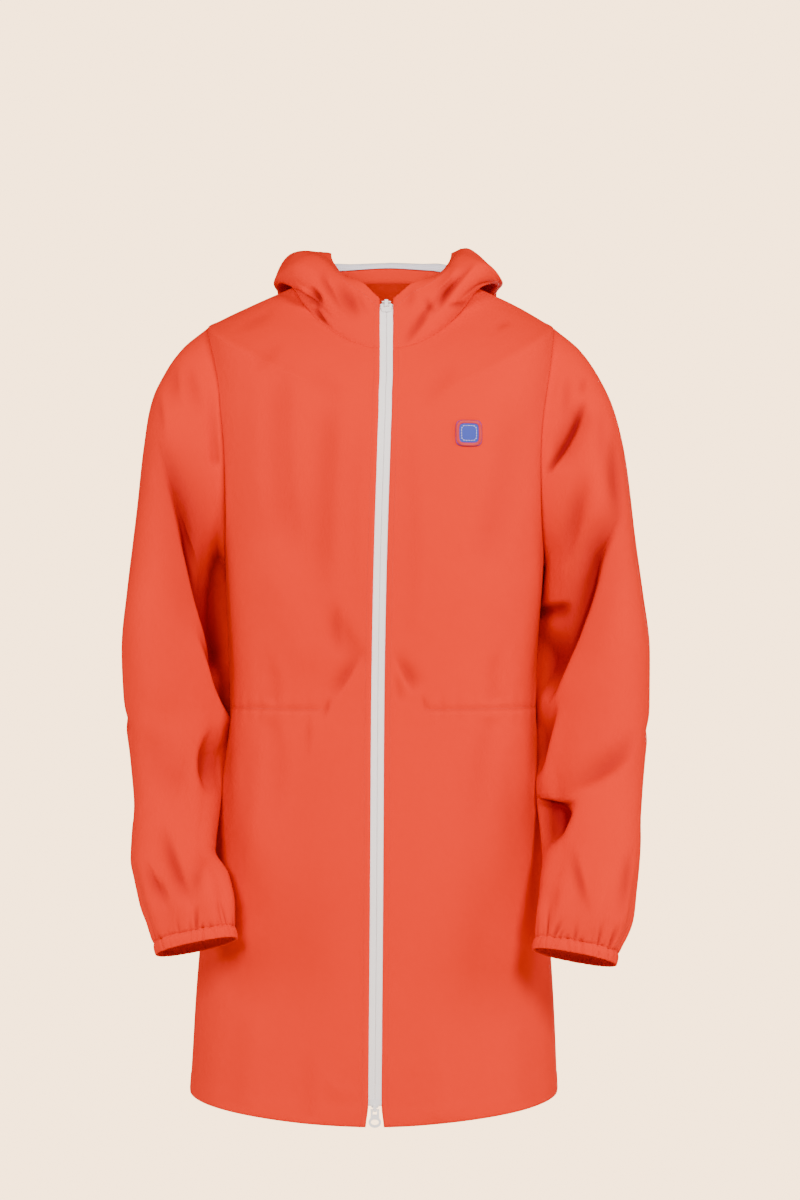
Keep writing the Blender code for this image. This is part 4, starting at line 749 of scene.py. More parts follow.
SLEEVE_LEFT = (
    (0.00, 0.1870, -0.0420, 0.1750, -0.3000, 0.000, 0.064, 0.000),  # armhole
    (0.05, 0.2156, -0.0660, 0.1778, -0.3020, 0.000, 0.069, 0.000),
    (0.11, 0.2343, -0.0920, 0.1786, -0.3070, 0.000, 0.072, 0.000),
    (0.18, 0.2508, -0.1276, 0.1782, -0.3150, 0.000, 0.074, 0.000),  # shoulder corner
    (0.26, 0.2629, -0.1738, 0.1766, -0.3260, 0.001, 0.074, 0.000),
    (0.34, 0.2717, -0.2266, 0.1750, -0.3390, 0.002, 0.072, 0.000),
    (0.42, 0.2783, -0.2794, 0.1737, -0.3550, 0.002, 0.070, 0.000),
    (0.50, 0.2849, -0.3322, 0.1722, -0.3780, 0.001, 0.068, 0.000),
    (0.58, 0.2915, -0.3982, 0.1707, -0.4040, 0.000, 0.066, 0.000),  # above the elbow
    (0.66, 0.2915, -0.4642, 0.1690, -0.4565, -0.004, 0.063, 0.002),  # elbow
    (0.73, 0.2859, -0.5162, 0.1712, -0.5130, -0.018, 0.058, 0.004),
    (0.80, 0.2794, -0.5670, 0.1750, -0.5615, -0.046, 0.051, 0.006),
    (0.87, 0.2748, -0.6165, 0.1785, -0.6100, -0.080, 0.046, 0.007),  # forearm
    (0.92, 0.2699, -0.6450, 0.1700, -0.6420, -0.098, 0.044, 0.008),
    (0.96, 0.2630, -0.6820, 0.1640, -0.6700, -0.109, 0.041, 0.009),  # blouse over the cuff
    (1.00, 0.2488, -0.7154, 0.1608, -0.6984, -0.117, 0.034, 0.009),  # cuff seam
)
SLEEVE_ROUND = 2.2  # exponent of a section's outline
ARMHOLE_FADE = 0.20  # share of the sleeve that takes up the armhole's own shape
ELBOW = (0.66, 0.12)  # where the forearm starts along the sleeve, and the share that bends


def sleeve_form(table, turn, along):
    """One sleeve's sections, without folds and before it meets the armhole."""
    value = {name: read(table, SLEEVE_COLUMNS, name, along) for name in SLEEVE_COLUMNS[1:]}
    across, forward = np.cos(turn), np.sin(turn)
    power = SLEEVE_ROUND
    swell = (np.abs(across) ** power + np.abs(forward) ** power) ** (-1 / power)
    across, forward = across * swell, forward * swell
    x, z = (0.5 * (value["outer_" + axis] + value["inner_" + axis]
                   + across * (value["outer_" + axis] - value["inner_" + axis])) for axis in "xz")
    return points(x, value["mid_y"] - forward * value["deep"], z + forward * value["pitch"])


def joined_sleeve(table, side, turn, along, body):
    """A sleeve's sections, drawn on to the armhole of the given body surface."""
    pull = (1 - ease(along / ARMHOLE_FADE))[..., None]
    start = sleeve_form(table, turn, 0 * along)
    return sleeve_form(table, turn, along) + pull * (body(*armhole(side, turn)) - start)


print("cuff height:", SLEEVE_RIGHT[-1][2])

# %% [markdown]
# ## Gathers at the cuffs
#
# An elastic inside the narrow band at each wrist holds in far more sleeve than it needs. The
# cloth goes into the seam in narrow, uneven pleats: some stop at once, a few run up the sleeve
# for several centimetres and end as soft folds. One list of pleats serves the band and the
# sleeve above it, so that every groove in the band has its fold above.

# %% Pleats
PLEATS = 34  # round one cuff
PLEAT_DEEP = (0.5 * MM, 1.7 * MM)
PLEAT_RUN = (6 * MM, 44 * MM)
CUFF_ROUND = 0.235  # metres round the cuff
SLEEVE_LENGTH = 0.68
SLEEVE_GATHERS = 9  # the soft folds that rise from the cuff, which the solids have too
SLEEVE_GATHER_DEEP = 2.6 * MM
SLEEVE_GATHER_START = 0.86
CUFF_TALL = 13.5 * MM
BESIDE_BODY = 4.4 * MM  # how far a sleeve is pressed into the narrow gap to the body
BELOW_ELBOW = {-1: 0.5 * MM, 1: 4.5 * MM}  # how much further in front of the hip, for each side


def pleat_list(seed):
    """Turn, depth, run and half width of each pleat."""
    chance = np.random.default_rng(seed)
    turn = (np.arange(PLEATS) + chance.uniform(-0.32, 0.32, PLEATS)) * 2 * math.pi / PLEATS
    deep = chance.uniform(*PLEAT_DEEP, PLEATS)
    run = PLEAT_RUN[0] + (PLEAT_RUN[1] - PLEAT_RUN[0]) * chance.random(PLEATS) ** 2.2
    half = chance.uniform(0.9 * MM, 1.7 * MM, PLEATS)
    slant = chance.uniform(-0.10, 0.10, PLEATS)
    return list(zip(turn, deep, run, half, slant))


def pleat_height(pleats, turn, above):
    """The pleats' grooves at a height above the cuff seam, below zero in the band."""
    height = np.zeros(np.broadcast(turn, above).shape)
    for at, deep, run, half, slant in pleats:
        off = np.angle(np.exp(1j * (turn - at - slant * above / CUFF_TALL)))
        off = off * CUFF_ROUND / (2 * math.pi)
        up = np.maximum(above, 0) / run
        wide = half * (1 + 2.4 * up)
        strength = np.where(above > 0, deep * (1 + run / 0.02) * (1 - ease(up)), deep)
        height -= strength * np.exp(-((off / wide) ** 2))
    return height + 0.55 * np.mean([p[1] for p in pleats])


def sleeve_fields(creases, form, turn, along):
    """A sleeve's crease fields where its surface lies at `form`."""
    x, y, z = form[..., 0], form[..., 1], form[..., 2]
    facing, outside = np.sin(turn), np.cos(turn)
    free = ease((along - 0.005) / 0.035) * ease((0.97 - along) / 0.05)
    outer = crease_fields(creases, "outer", y, z)
    outer[SHIFT_A] = 0
    return free * (crease_fields(creases, "front", x, z) * ease(facing * 3)
                   + crease_fields(creases, "back", x, z) * ease(-facing * 3)
                   + outer * ease(outside * 3))


def sleeve(table, creases, pleats, side, turn, along):
    """One sleeve with its creases and gathers, and the shade painted on each point, from how hidden
    from light it is.
    """
    def bare(turn, along):
        return joined_sleeve(table, side, turn, along, coat_form)
    form = joined_sleeve(table, side, turn, along, coat)
    fields = sleeve_fields(creases, form, turn, along)
    loose = ease((along - 0.03) / 0.12) * ease((0.97 - along) / 0.05) * ease(0.6 + np.cos(turn))
    height = fields[HEIGHT] + loose * slack(turn * SLEEVE_RADIUS, form[..., 2], 1.9)
    rise = ease((along - SLEEVE_GATHER_START) / (1 - SLEEVE_GATHER_START))
    settle = 1 - 0.6 * ease((along - 0.95) / 0.05)
    height = height + rise * settle * SLEEVE_GATHER_DEEP * np.cos(SLEEVE_GATHERS * turn)
    beside_body = ease((-np.cos(turn) - 0.7) / 0.3) * ease(along / 0.04)
    beside_body = beside_body * ease((0.96 - along) / 0.1)
    pressed = BESIDE_BODY + BELOW_ELBOW[side] * ease((along - ELBOW[0]) / ELBOW[1])
    height = height + pressed * beside_body
    above = (1 - along) * SLEEVE_LENGTH
    pleats_high = pleat_height(pleats, turn, above) * (1 - ease((above - 0.03) / 0.02))
    moved = points(fields[SHIFT_A], 0.0, fields[SHIFT_Z])
    outward = side * normals(bare, turn, along)
    # painted shade: the creases' shade, with more in the pleats' grooves above the cuff
    shade = fields[PAINTED_SHADE_FIELD] + np.clip(-pleats_high / (4 * MM), 0, 0.5)
    return form + moved + (height + pleats_high)[..., None] * outward, shade


def cuff_band(table, pleats, side, turn, drop):
    """A cuff's band, drop in metres below its seam."""
    ring = sleeve_form(table, turn, 1.0 + 0 * turn)
    outer, front, inner = sleeve_form(table, np.arange(3) * QUARTER, np.ones(3))
    middle = 0.5 * (outer + inner)
    down = side * np.cross(inner - outer, middle - front)
    down = down / np.linalg.norm(down)
    spread = unit(ring - middle)
    puff = 0.7 * MM * np.sin(math.pi * np.clip(drop / CUFF_TALL, 0, 1))
    height = pleat_height(pleats, turn, -drop) + puff
    return ring + down * drop[..., None] + spread * height[..., None]


PLEATS_RIGHT, PLEATS_LEFT = pleat_list(11), pleat_list(23)
print("pleats:", len(PLEATS_RIGHT), len(PLEATS_LEFT))

# %% [markdown]
# ## The hood, lying down
#
# The hood stands up a little from the neck seam, rolls over itself at the sides and hangs as a
# pouch behind the neck. At each angle round the neck its cloth follows one smooth line through
# six places: the stand, the layer next to the coat, the lowest fold, that fold's outer side, the
# outer layer and the rim of the face opening.

# %% Hood profiles
HOOD_KNOTS = ("stand", "near", "low", "side", "out", "rim")
HOOD_COLUMNS = ("degrees", "stand_r", "stand_z", "near_r", "near_z", "low_r", "low_z",
                "side_r", "side_z", "out_r", "out_z", "rim_r", "rim_z")
HOOD = (
    (0, 0.0928, -0.062, 0.0910, -0.0535, 0.0890, -0.046,
     0.0868, -0.038, 0.0838, -0.0295, 0.0805, -0.0205),
    (20, 0.0955, -0.053, 0.0945, -0.041, 0.0925, -0.030,
     0.0900, -0.019, 0.0860, -0.009, 0.080, 0.000),
    (40, 0.0990, -0.036, 0.1005, -0.021, 0.0995, -0.008,
     0.0960, 0.002, 0.0880, 0.0095, 0.076, 0.010),
    (65, 0.1040, -0.008, 0.1110, 0.001, 0.1150, 0.012,
     0.1110, 0.025, 0.0930, 0.035, 0.068, 0.026),
    (90, 0.1080, 0.008, 0.1160, 0.007, 0.1225, 0.007,
     0.1255, 0.016, 0.1060, 0.042, 0.066, 0.040),
    (115, 0.1030, 0.022, 0.1190, 0.013, 0.1310, 0.001,
     0.1405, 0.010, 0.1270, 0.038, 0.093, 0.044),
    (145, 0.0940, 0.034, 0.1290, -0.010, 0.1620, -0.098,
     0.1780, -0.086, 0.1800, -0.030, 0.140, 0.042),
    (180, 0.0910, 0.034, 0.1210, -0.050, 0.1480, -0.168,
     0.1680, -0.160, 0.1880, -0.070, 0.162, 0.034),
)
HOOD_RIM_LEAN = 0.008  # the rim leans to the wearer's left
# What differs on the wearer's left, where the outer layer is drawn in over the lowest fold.
HOOD_LEFT_COLUMNS = ("degrees", "low_r", "low_z", "side_r", "side_z", "out_r", "out_z")
HOOD_LEFT = (
    (40, 0.000, 0.000, 0.000, 0.000, 0.000, 0.000),
    (65, 0.000, 0.000, 0.000, 0.000, -0.008, 0.001),
    (90, -0.002, 0.000, -0.004, -0.003, -0.018, 0.003),
    (115, -0.007, 0.000, -0.009, -0.003, -0.026, 0.002),
    (145, 0.000, 0.000, 0.000, 0.000, 0.000, 0.000),
)


def through(knots, at):
    """A smooth curve through a list of knots (arrays of one shape), `at` from 0 to 1."""
    knots = np.stack([2 * knots[0] - knots[1], *knots, 2 * knots[-1] - knots[-2]])
    spans = len(knots) - 3
    place = at * spans
    i = np.clip(np.floor(place).astype(int), 0, spans - 1)
    t = place - i
    k0, k1, k2, k3 = (np.take_along_axis(knots, (i + j)[None], 0)[0] for j in range(4))
    return 0.5 * (2 * k1 + (k2 - k0) * t + (2 * k0 - 5 * k1 + 4 * k2 - k3) * t**2
                  + (3 * k1 - k0 - 3 * k2 + k3) * t**3)


def hood_form(angle, climb):
    """The hood without its creases, climb from 0 at the neck seam to 1 at the rim."""
    degrees = np.degrees(math.pi - np.abs(math.pi - np.abs(angle)))
    seam = coat_form(angle, np.zeros_like(angle))
    lean = COAT[0][1]
    radii = [np.hypot(seam[..., 0] - lean, seam[..., 1])]
    heights = [seam[..., 2] + SEAM_GAP]
    on_left = (np.sin(angle) > 0) & (degrees > HOOD_LEFT[0][0]) & (degrees < HOOD_LEFT[-1][0])
    for knot in HOOD_KNOTS:
        for values, name in ((radii, knot + "_r"), (heights, knot + "_z")):
            value = read(HOOD, HOOD_COLUMNS, name, degrees, True)
            if name in HOOD_LEFT_COLUMNS:
                change = read(HOOD_LEFT, HOOD_LEFT_COLUMNS, name, degrees, True)
                value = value + np.where(on_left, change, 0.0)
            values.append(value)
    radius, z = through(radii, climb), through(heights, climb)
    middle = lean + (HOOD_RIM_LEAN - lean) * ease(climb) * ease(degrees / 60)
    return points(middle + radius * np.sin(angle), -radius * np.cos(angle), z)


def hood_zip_angle(climb):
    """The angle at which the hood's front edge runs beside the zip."""
    radii = [np.full_like(climb, COAT[0][COAT_COLUMNS.index("front")])]
    radii += [np.full_like(climb, HOOD[0][HOOD_COLUMNS.index(knot + "_r")]) for knot in HOOD_KNOTS]
    return np.arcsin(ZIP_HALF / through(radii, climb))


print("hood rim at the back:", hood_form(np.full(1, math.pi), np.ones(1))[0].round(3))

# %% Hood creases
# Here a is the way round the neck in metres (at 0.11 m from its axis, positive to the wearer's
# left) and z is the way up the cloth in metres.
HOOD_ROUND = 0.11
HOOD_CLIMB = 0.13
HOOD_FRONT_TO = math.radians(70)  # past here the hood rolls over, and no front view crease shows
HOOD_CREASES = (
    # seen from the front, as on the coat
    ("front", -0.082, -0.002, -0.071, -0.014, -0.067, -0.030, 0.0070, -0.0060, 0.35, "both"),
    ("front", -0.076, -0.022, -0.068, -0.036, -0.052, -0.056, 0.0050, -0.0038, 0.35, "both"),
    ("front", -0.048, 0.008, -0.039, -0.018, -0.022, -0.044, 0.0100, -0.0040, 0.45, "both"),
    ("front", -0.030, -0.004, -0.024, -0.022, -0.013, -0.038, 0.0060, -0.0014, 0.6, "both"),
    ("front", 0.084, 0.010, 0.0700, -0.011, 0.0560, -0.034, 0.0090, -0.0046, 0.30, "both"),
    ("front", 0.052, -0.026, 0.0360, -0.050, 0.0190, -0.072, 0.0070, -0.0030, 0.45, "both"),
    ("front", 0.044, -0.012, 0.0500, -0.026, 0.0580, -0.034, 0.0045, -0.0022, 0.6, "both"),
    ("front", 0.066, -0.026, 0.0820, -0.022, 0.0970, -0.020, 0.0040, -0.0018, 0.5, "both"),
    ("front", 0.030, 0.000, 0.0300, -0.016, 0.0230, -0.034, 0.0060, -0.0014, 0.6, "both"),
    # along the cloth, with a round the neck and z up the cloth
    ("cloth", -0.150, 0.010, -0.110, 0.028, -0.060, 0.022, 0.008, -0.0040, 0.5, "both"),
    ("cloth", -0.128, 0.044, -0.100, 0.036, -0.070, 0.012, 0.007, 0.0030, 0.6, "both"),
    ("cloth", -0.092, 0.105, -0.078, 0.070, -0.052, 0.040, 0.007, -0.0030, 0.5, "both"),
    ("cloth", -0.060, 0.110, -0.045, 0.080, -0.040, 0.046, 0.008, -0.0022, 0.6, "both"),
    ("cloth", 0.120, 0.098, 0.090, 0.070, 0.060, 0.030, 0.008, -0.0032, 0.5, "both"),
    ("cloth", 0.100, 0.112, 0.082, 0.088, 0.052, 0.074, 0.007, 0.0024, 0.6, "both"),
    ("cloth", 0.070, 0.060, 0.050, 0.048, 0.044, 0.020, 0.007, -0.0024, 0.6, "both"),
    ("cloth", 0.160, 0.060, 0.130, 0.040, 0.084, 0.034, 0.008, -0.0030, 0.6, "both"),
    ("cloth", -0.200, 0.080, -0.180, 0.100, -0.150, 0.118, 0.010, -0.0030, 0.6, "both"),
    ("cloth", 0.200, 0.080, 0.186, 0.100, 0.156, 0.118, 0.010, -0.0030, 0.6, "both"),
    ("cloth", -0.260, 0.075, -0.256, 0.095, -0.262, 0.122, 0.011, -0.0034, 0.6, "both"),
    ("cloth", 0.270, 0.074, 0.264, 0.096, 0.268, 0.124, 0.011, -0.0034, 0.6, "both"),
    ("cloth", -0.322, 0.080, -0.316, 0.100, -0.320, 0.124, 0.010, 0.0024, 0.8, "both"),
    ("cloth", 0.316, 0.080, 0.312, 0.104, 0.318, 0.124, 0.010, 0.0020, 0.8, "both"),
)
RIM_PUCKER = 7 * MM  # small puckers where the rim's hem is pulled in beside the zip


def hood(angle, climb):
    """The hood with its creases, and the shade painted on each point, from how hidden from light it
    is.
    """
    form = hood_form(angle, climb)
    outward = normals(hood_form, angle, climb)
    signed = np.angle(np.exp(1j * angle))
    a, z = signed * HOOD_ROUND, climb * HOOD_CLIMB
    fields = (crease_fields(HOOD_CREASES, "cloth", a, z)
              + crease_fields(HOOD_CREASES, "front", form[..., 0], form[..., 2])
              * ease(-3 * outward[..., 1]) * ease(climb / 0.06) * ease((1 - climb) / 0.08)
              * ease((HOOD_FRONT_TO - np.abs(signed)) / 0.25))
    height = fields[HEIGHT] + 0.6 * slack(a, z * 2, 3.1) * ease(climb / 0.1)
    near_zip = np.exp(-((np.abs(a) / 0.045) ** 2)) * ease((climb - 0.86) / 0.1)
    height = height + 0.5 * MM * near_zip * np.sin(2 * math.pi * a / RIM_PUCKER)
    return form + height[..., None] * outward, fields[PAINTED_SHADE_FIELD]


print("hood creases:", len(HOOD_CREASES))

# %% [markdown]
# ## Thin shells from grids
#
# Every cloth piece is a grid of points, which makes seams and stitch lines simple: a seam is the
# grid's edge, and a stitch line keeps its distance from it. A shell has an outer and an inner
# skin and a rounded rim. Along a sewn edge the outer skin dips, because the seam pulls the cloth
# down, and along a folded edge it is a little fuller, because the turning lies inside. The UV map
# holds true lengths in metres, so that a weave keeps its size on every piece.

# %% Shell tools
CLOTH_THICK = 1.0 * MM
SEAM_DIP = 1.0 * MM
SEAM_DIP_HALF = 2.4 * MM
NECK_SEAM_SHARE = 0.35  # the neck seam is pressed flat, and hardly shows


def edge_distance(grid, edge):
    """How far each point lies from one edge of its grid, along the rows or the columns."""
    axis = 0 if edge in ("first_row", "last_row") else 1
    if edge in ("last_row", "last_column"):
        grid = np.flip(grid, axis)
    step = np.linalg.norm(np.diff(grid, axis=axis), axis=-1)
    total = np.cumsum(step, axis=axis)
    zero = np.zeros_like(np.take(total, [0], axis=axis))
    total = np.concatenate([zero, total], axis=axis)
    return np.flip(total, axis) if edge in ("last_row", "last_column") else total


def grid_normals(grid, closed=False):
    """Unit normals of a grid of points, the way that its columns cross its rows."""
    if closed:
        grid = np.concatenate([grid[:, -1:], grid, grid[:, :1]], axis=1)
    normal = unit(np.cross(np.gradient(grid, axis=1), np.gradient(grid, axis=0)))
    return normal[:, 1:-1] if closed else normal


def sew(grid, outward, seams=(), folds=(), fold_wide=6.0 * MM, fold_high=0.45 * MM,
        flat_neck=False):
    """Dips a grid along its seams and fills it out along its folded edges."""
    height = np.zeros(grid.shape[:2])
    for edge in seams:
        share = NECK_SEAM_SHARE if edge == "first_row" and flat_neck else 1.0
        height -= share * SEAM_DIP * np.exp(-((edge_distance(grid, edge) / SEAM_DIP_HALF) ** 2))
    for edge in folds:
        away = edge_distance(grid, edge)
        height += fold_high * (1 - ease((away - fold_wide) / (1.6 * MM)))
        height -= 0.5 * MM * np.exp(-((away / (1.2 * MM)) ** 2))
    return grid + height[..., None] * outward


def shell(name, outer, outward, thick, material, closed=False, painted_shade=None):
    """A thin closed wall between a grid of outer points and the same points moved in.

    The last argument is the shade painted on each point, from 0 to 1, deep in folds and grooves.
    """
    rows, columns = outer.shape[:2]
    inner = outer - outward * thick
    bm = bmesh.new()
    # the painted shade, kept on each point for the cloth's colour
    depth_layer = bm.verts.layers.float.new("painted_shade")
    loops = [[[bm.verts.new(p) for p in row] for row in skin] for skin in (outer, inner)]
    out, ins = loops
    if painted_shade is not None:
        for verts, depths in zip(out, np.clip(painted_shade, 0, 1)):
            for vert, depth in zip(verts, depths):
                vert[depth_layer] = float(depth)
    uv_layer = bm.loops.layers.uv.new("cloth")
    down = edge_distance(outer, "first_row")
    across = edge_distance(outer, "first_column")
    spans = columns if closed else columns - 1
    lap = float(np.linalg.norm(outer[:, 0] - outer[:, -1], axis=-1).mean())

    def uv(r, c):
        past_end = c == columns
        return (float(across[r, c - 1 if past_end else c]) + (lap if past_end else 0.0),
                float(down[r, c - 1 if past_end else c]))

    def face(corners):
        made = bm.faces.new([vert for vert, _ in corners])
        made.smooth = True
        for loop, (_, place) in zip(made.loops, corners):
            loop[uv_layer].uv = place

    for r in range(rows - 1):
        for c in range(spans):
            d = (c + 1) % columns
            quad = ((r, c, c), (r + 1, c, c), (r + 1, d, c + 1), (r, d, c + 1))
            face([(out[i][j], uv(i, k)) for i, j, k in quad])
            face([(ins[i][j], uv(i, k)) for i, j, k in reversed(quad)])

    def rim(cells, beyond):
        """Closes one edge with a rounded strip. cells are its row and column pairs."""
        middles = [bm.verts.new(0.5 * (outer[i, j] + inner[i, j]) + beyond[n] * 0.35 * thick)
                   for n, (i, j) in enumerate(cells)]
        pairs = list(zip(range(len(cells)), range(1, len(cells))))
        if closed:
            pairs.append((len(cells) - 1, 0))
        for n, m in pairs:
            (i, j), (k, l) = cells[n], cells[m]
            face([(out[i][j], uv(i, j)), (out[k][l], uv(k, l)),
                  (middles[m], uv(k, l)), (middles[n], uv(i, j))])
            face([(middles[n], uv(i, j)), (middles[m], uv(k, l)),
                  (ins[k][l], uv(k, l)), (ins[i][j], uv(i, j))])
        return middles

    top = rim([(0, c) for c in range(columns)], unit(outer[0] - outer[1]))
    bottom = rim([(rows - 1, c) for c in reversed(range(columns))],
                 unit(outer[-1] - outer[-2])[::-1])
    if not closed:
        left = rim([(r, 0) for r in reversed(range(rows))], unit(outer[:, 0] - outer[:, 1])[::-1])
        right = rim([(r, columns - 1) for r in range(rows)], unit(outer[:, -1] - outer[:, -2]))
        for ends in ((top[0], left[-1]), (top[-1], right[0]), (bottom[0], right[-1]),
                     (bottom[-1], left[0])):
            bmesh.ops.pointmerge(bm, verts=list(ends), merge_co=ends[0].co)
    mesh = bpy.data.meshes.new(name)
    bmesh.ops.recalc_face_normals(bm, faces=bm.faces)
    bm.to_mesh(mesh)
    bm.free()
    mesh.materials.append(material)
    piece = bpy.data.objects.new(name, mesh)
    bpy.context.scene.collection.objects.link(piece)
    return piece


def cloth_area(grid, closed=False):
    """The area of a grid of points, in square metres."""
    if closed:
        grid = np.concatenate([grid, grid[:, :1]], axis=1)
    a, b = grid[1:, 1:] - grid[:-1, :-1], grid[1:, :-1] - grid[:-1, 1:]
    return float(0.5 * np.linalg.norm(np.cross(a, b), axis=-1).sum())


print("cloth is", CLOTH_THICK / MM, "mm thick")

# %% [markdown]
# ## Fronts and back
#
# Each front runs from the folded edge beside the zip to the side seam, and from the neck seam
# over the shoulder and past the armhole to the hem. Rows lie close together at the two ends of
# the armhole, where its edge turns fastest.

# %% Body panels
NECK_ROWS, ARMHOLE_ROWS, CHEST_ROWS, SKIRT_ROWS, SPREAD_ROWS = 30, 88, 48, 100, 7
FRONT_COLUMNS, BACK_COLUMNS = 72, 112


def zip_angle(fall):
    """The angle at which a front's folded edge runs beside the zip, spread at the hem."""
    spread = HEM_SPREAD * ease((fall - TAPE_END_FALL) / (HEM_FALL - TAPE_END_FALL))
    return np.arcsin((ZIP_HALF + spread) / read(COAT, COAT_COLUMNS, "front", fall))


def panel_rows():
    """The falls of a panel's rows, and how far the armhole cuts into each, from 0 to 1."""
    middle = 0.5 * (SHOULDER_FALL + UNDERARM_FALL)
    half = 0.5 * (UNDERARM_FALL - SHOULDER_FALL)
    turn = np.linspace(0, math.pi, ARMHOLE_ROWS + 1)
    neck = np.linspace(0, SHOULDER_FALL, NECK_ROWS + 1)[:-1]
    chest = np.linspace(UNDERARM_FALL, WAIST_FALL, CHEST_ROWS + 1)[1:]
    skirt = np.linspace(WAIST_FALL, TAPE_END_FALL, SKIRT_ROWS + 1)[1:]
    spread = np.linspace(TAPE_END_FALL, HEM_FALL, SPREAD_ROWS + 1)[1:]
    falls = np.concatenate([neck, middle - half * np.cos(turn), chest, skirt, spread])
    cut = np.concatenate([0 * neck, np.sin(turn), 0 * chest, 0 * skirt, 0 * spread])
    return falls, cut


# The painted shade of each body panel, weaker than on the sleeves.
PAINTED_SHADES = {}
BODY_SHADE_SHARE = 0.6  # the body's wide folds are shallower than the sleeves'


def panel_grid(name, start, end, columns, sign):
    """A panel's points between two angles for each row, with normals that point out."""
    falls, _ = panel_rows()
    angle = sign * (start[:, None] + np.linspace(0, 1, columns + 1) * (end - start)[:, None])
    fall = np.broadcast_to(falls[:, None], angle.shape)
    grid = coat(angle, fall)
    outward = grid_normals(grid)
    PAINTED_SHADES[name] = coat_fields(angle, fall)[PAINTED_SHADE_FIELD] * BODY_SHADE_SHARE
    return grid, outward if (outward[:, :, 1] * grid[:, :, 1]).sum() > 0 else -outward


falls, cut = panel_rows()
seam_half = 0.5 * SEAM_GAP / read(COAT, COAT_COLUMNS, "right", falls)
front_end = QUARTER - np.maximum(ARMHOLE_FRONT * cut, seam_half)
back_start = QUARTER + np.maximum(ARMHOLE_BACK * cut, seam_half)
GRIDS = {}
for name, sign in (("front_right", -1), ("front_left", 1)):
    grid, outward = panel_grid(name, zip_angle(falls), front_end, FRONT_COLUMNS, sign)
    grid = sew(grid, outward, seams=("last_column", "first_row"), folds=("first_column",),
               flat_neck=True)
    GRIDS[name] = (sew(grid, outward, folds=("last_row",), fold_wide=18 * MM), outward)
grid, outward = panel_grid("back", back_start, 2 * math.pi - back_start, BACK_COLUMNS, 1)
grid = sew(grid, outward, seams=("first_column", "last_column", "first_row"), flat_neck=True)
GRIDS["back"] = (sew(grid, outward, folds=("last_row",), fold_wide=18 * MM), outward)
PIECES = {}
for name, (grid, outward) in GRIDS.items():
    PIECES[name] = shell("cloth_" + name, grid, outward, CLOTH_THICK, COTTON, painted_shade=PAINTED_SHADES[name])
    print(name, "points", grid.shape[:2], "area", round(cloth_area(grid), 3))

# %% [markdown]
# ## Sleeves and cuffs
#
# A sleeve is one piece round the arm, sewn into the armhole. It starts on the body's own armhole
# line, and its first ring is then tucked under the body's edge, so that no light shows through
# the seam. The cuff's band hangs from its last ring.

# %% Sleeves and cuffs
SLEEVE_ROWS = 232
SLEEVE_POINTS = 208
CLOSER_IN_FRONT = 0.35  # the front has more points, because its creases are seen most
TUCKED_IN = 1.5 * MM  # how far a sleeve runs under the body's edge at the armhole
CUFF_POINTS = 432
CUFF_ROWS = 9
SLEEVES = {
    "right": (SLEEVE_RIGHT, SLEEVE_RIGHT_CREASES, PLEATS_RIGHT, -1),
    "left": (SLEEVE_LEFT, SLEEVE_LEFT_CREASES, PLEATS_LEFT, 1),
}
for hand, (table, creases, pleats, side) in SLEEVES.items():
    turn = np.linspace(0, 2 * math.pi, SLEEVE_POINTS, endpoint=False)
    turn = turn + CLOSER_IN_FRONT * np.cos(turn)
    along = np.linspace(0, 1, SLEEVE_ROWS + 1)
    turn, along = np.broadcast_arrays(turn[None, :], along[:, None])
    grid, painted_shade = sleeve(table, creases, pleats, side, turn, along)
    outward = grid_normals(grid, closed=True)
    if ((grid - grid.mean(axis=1, keepdims=True)) * outward).sum() < 0:
        outward = -outward
    grid = sew(grid, outward, seams=("last_row",))
    grid[0] += unit(grid[0] - grid[1]) * TUCKED_IN
    GRIDS["sleeve_" + hand] = (grid, outward)
    PIECES["sleeve_" + hand] = shell("cloth_sleeve_" + hand, grid, outward, CLOTH_THICK, COTTON,
                                     closed=True, painted_shade=painted_shade)
    print("sleeve", hand, "area", round(cloth_area(grid, True), 3))

    turn = np.linspace(0, 2 * math.pi, CUFF_POINTS, endpoint=False)
    drop = np.linspace(SEAM_GAP, SEAM_GAP + CUFF_TALL, CUFF_ROWS + 1)
    turn, drop = np.broadcast_arrays(turn[None, :], drop[:, None])
    grid = cuff_band(table, pleats, side, turn, drop)
    outward = grid_normals(grid, closed=True)
    if ((grid - grid.mean(axis=1, keepdims=True)) * outward).sum() < 0:
        outward = -outward
    grid = sew(grid, outward, seams=("first_row",), folds=("last_row",), fold_wide=0.0)
    GRIDS["cuff_" + hand] = (grid, outward)
    PIECES["cuff_" + hand] = shell("cloth_cuff_" + hand, grid, outward, 1.3 * MM, COTTON, True)
    print("cuff", hand, "area", round(cloth_area(grid, True), 4))

# %% [markdown]
# ## Hood panels and lining
#
# Two sides and a centre panel are sewn into the hood. The pale mesh inside it shows only where
# the hood opens, behind the neck, so the lining follows the same grid a little further in.

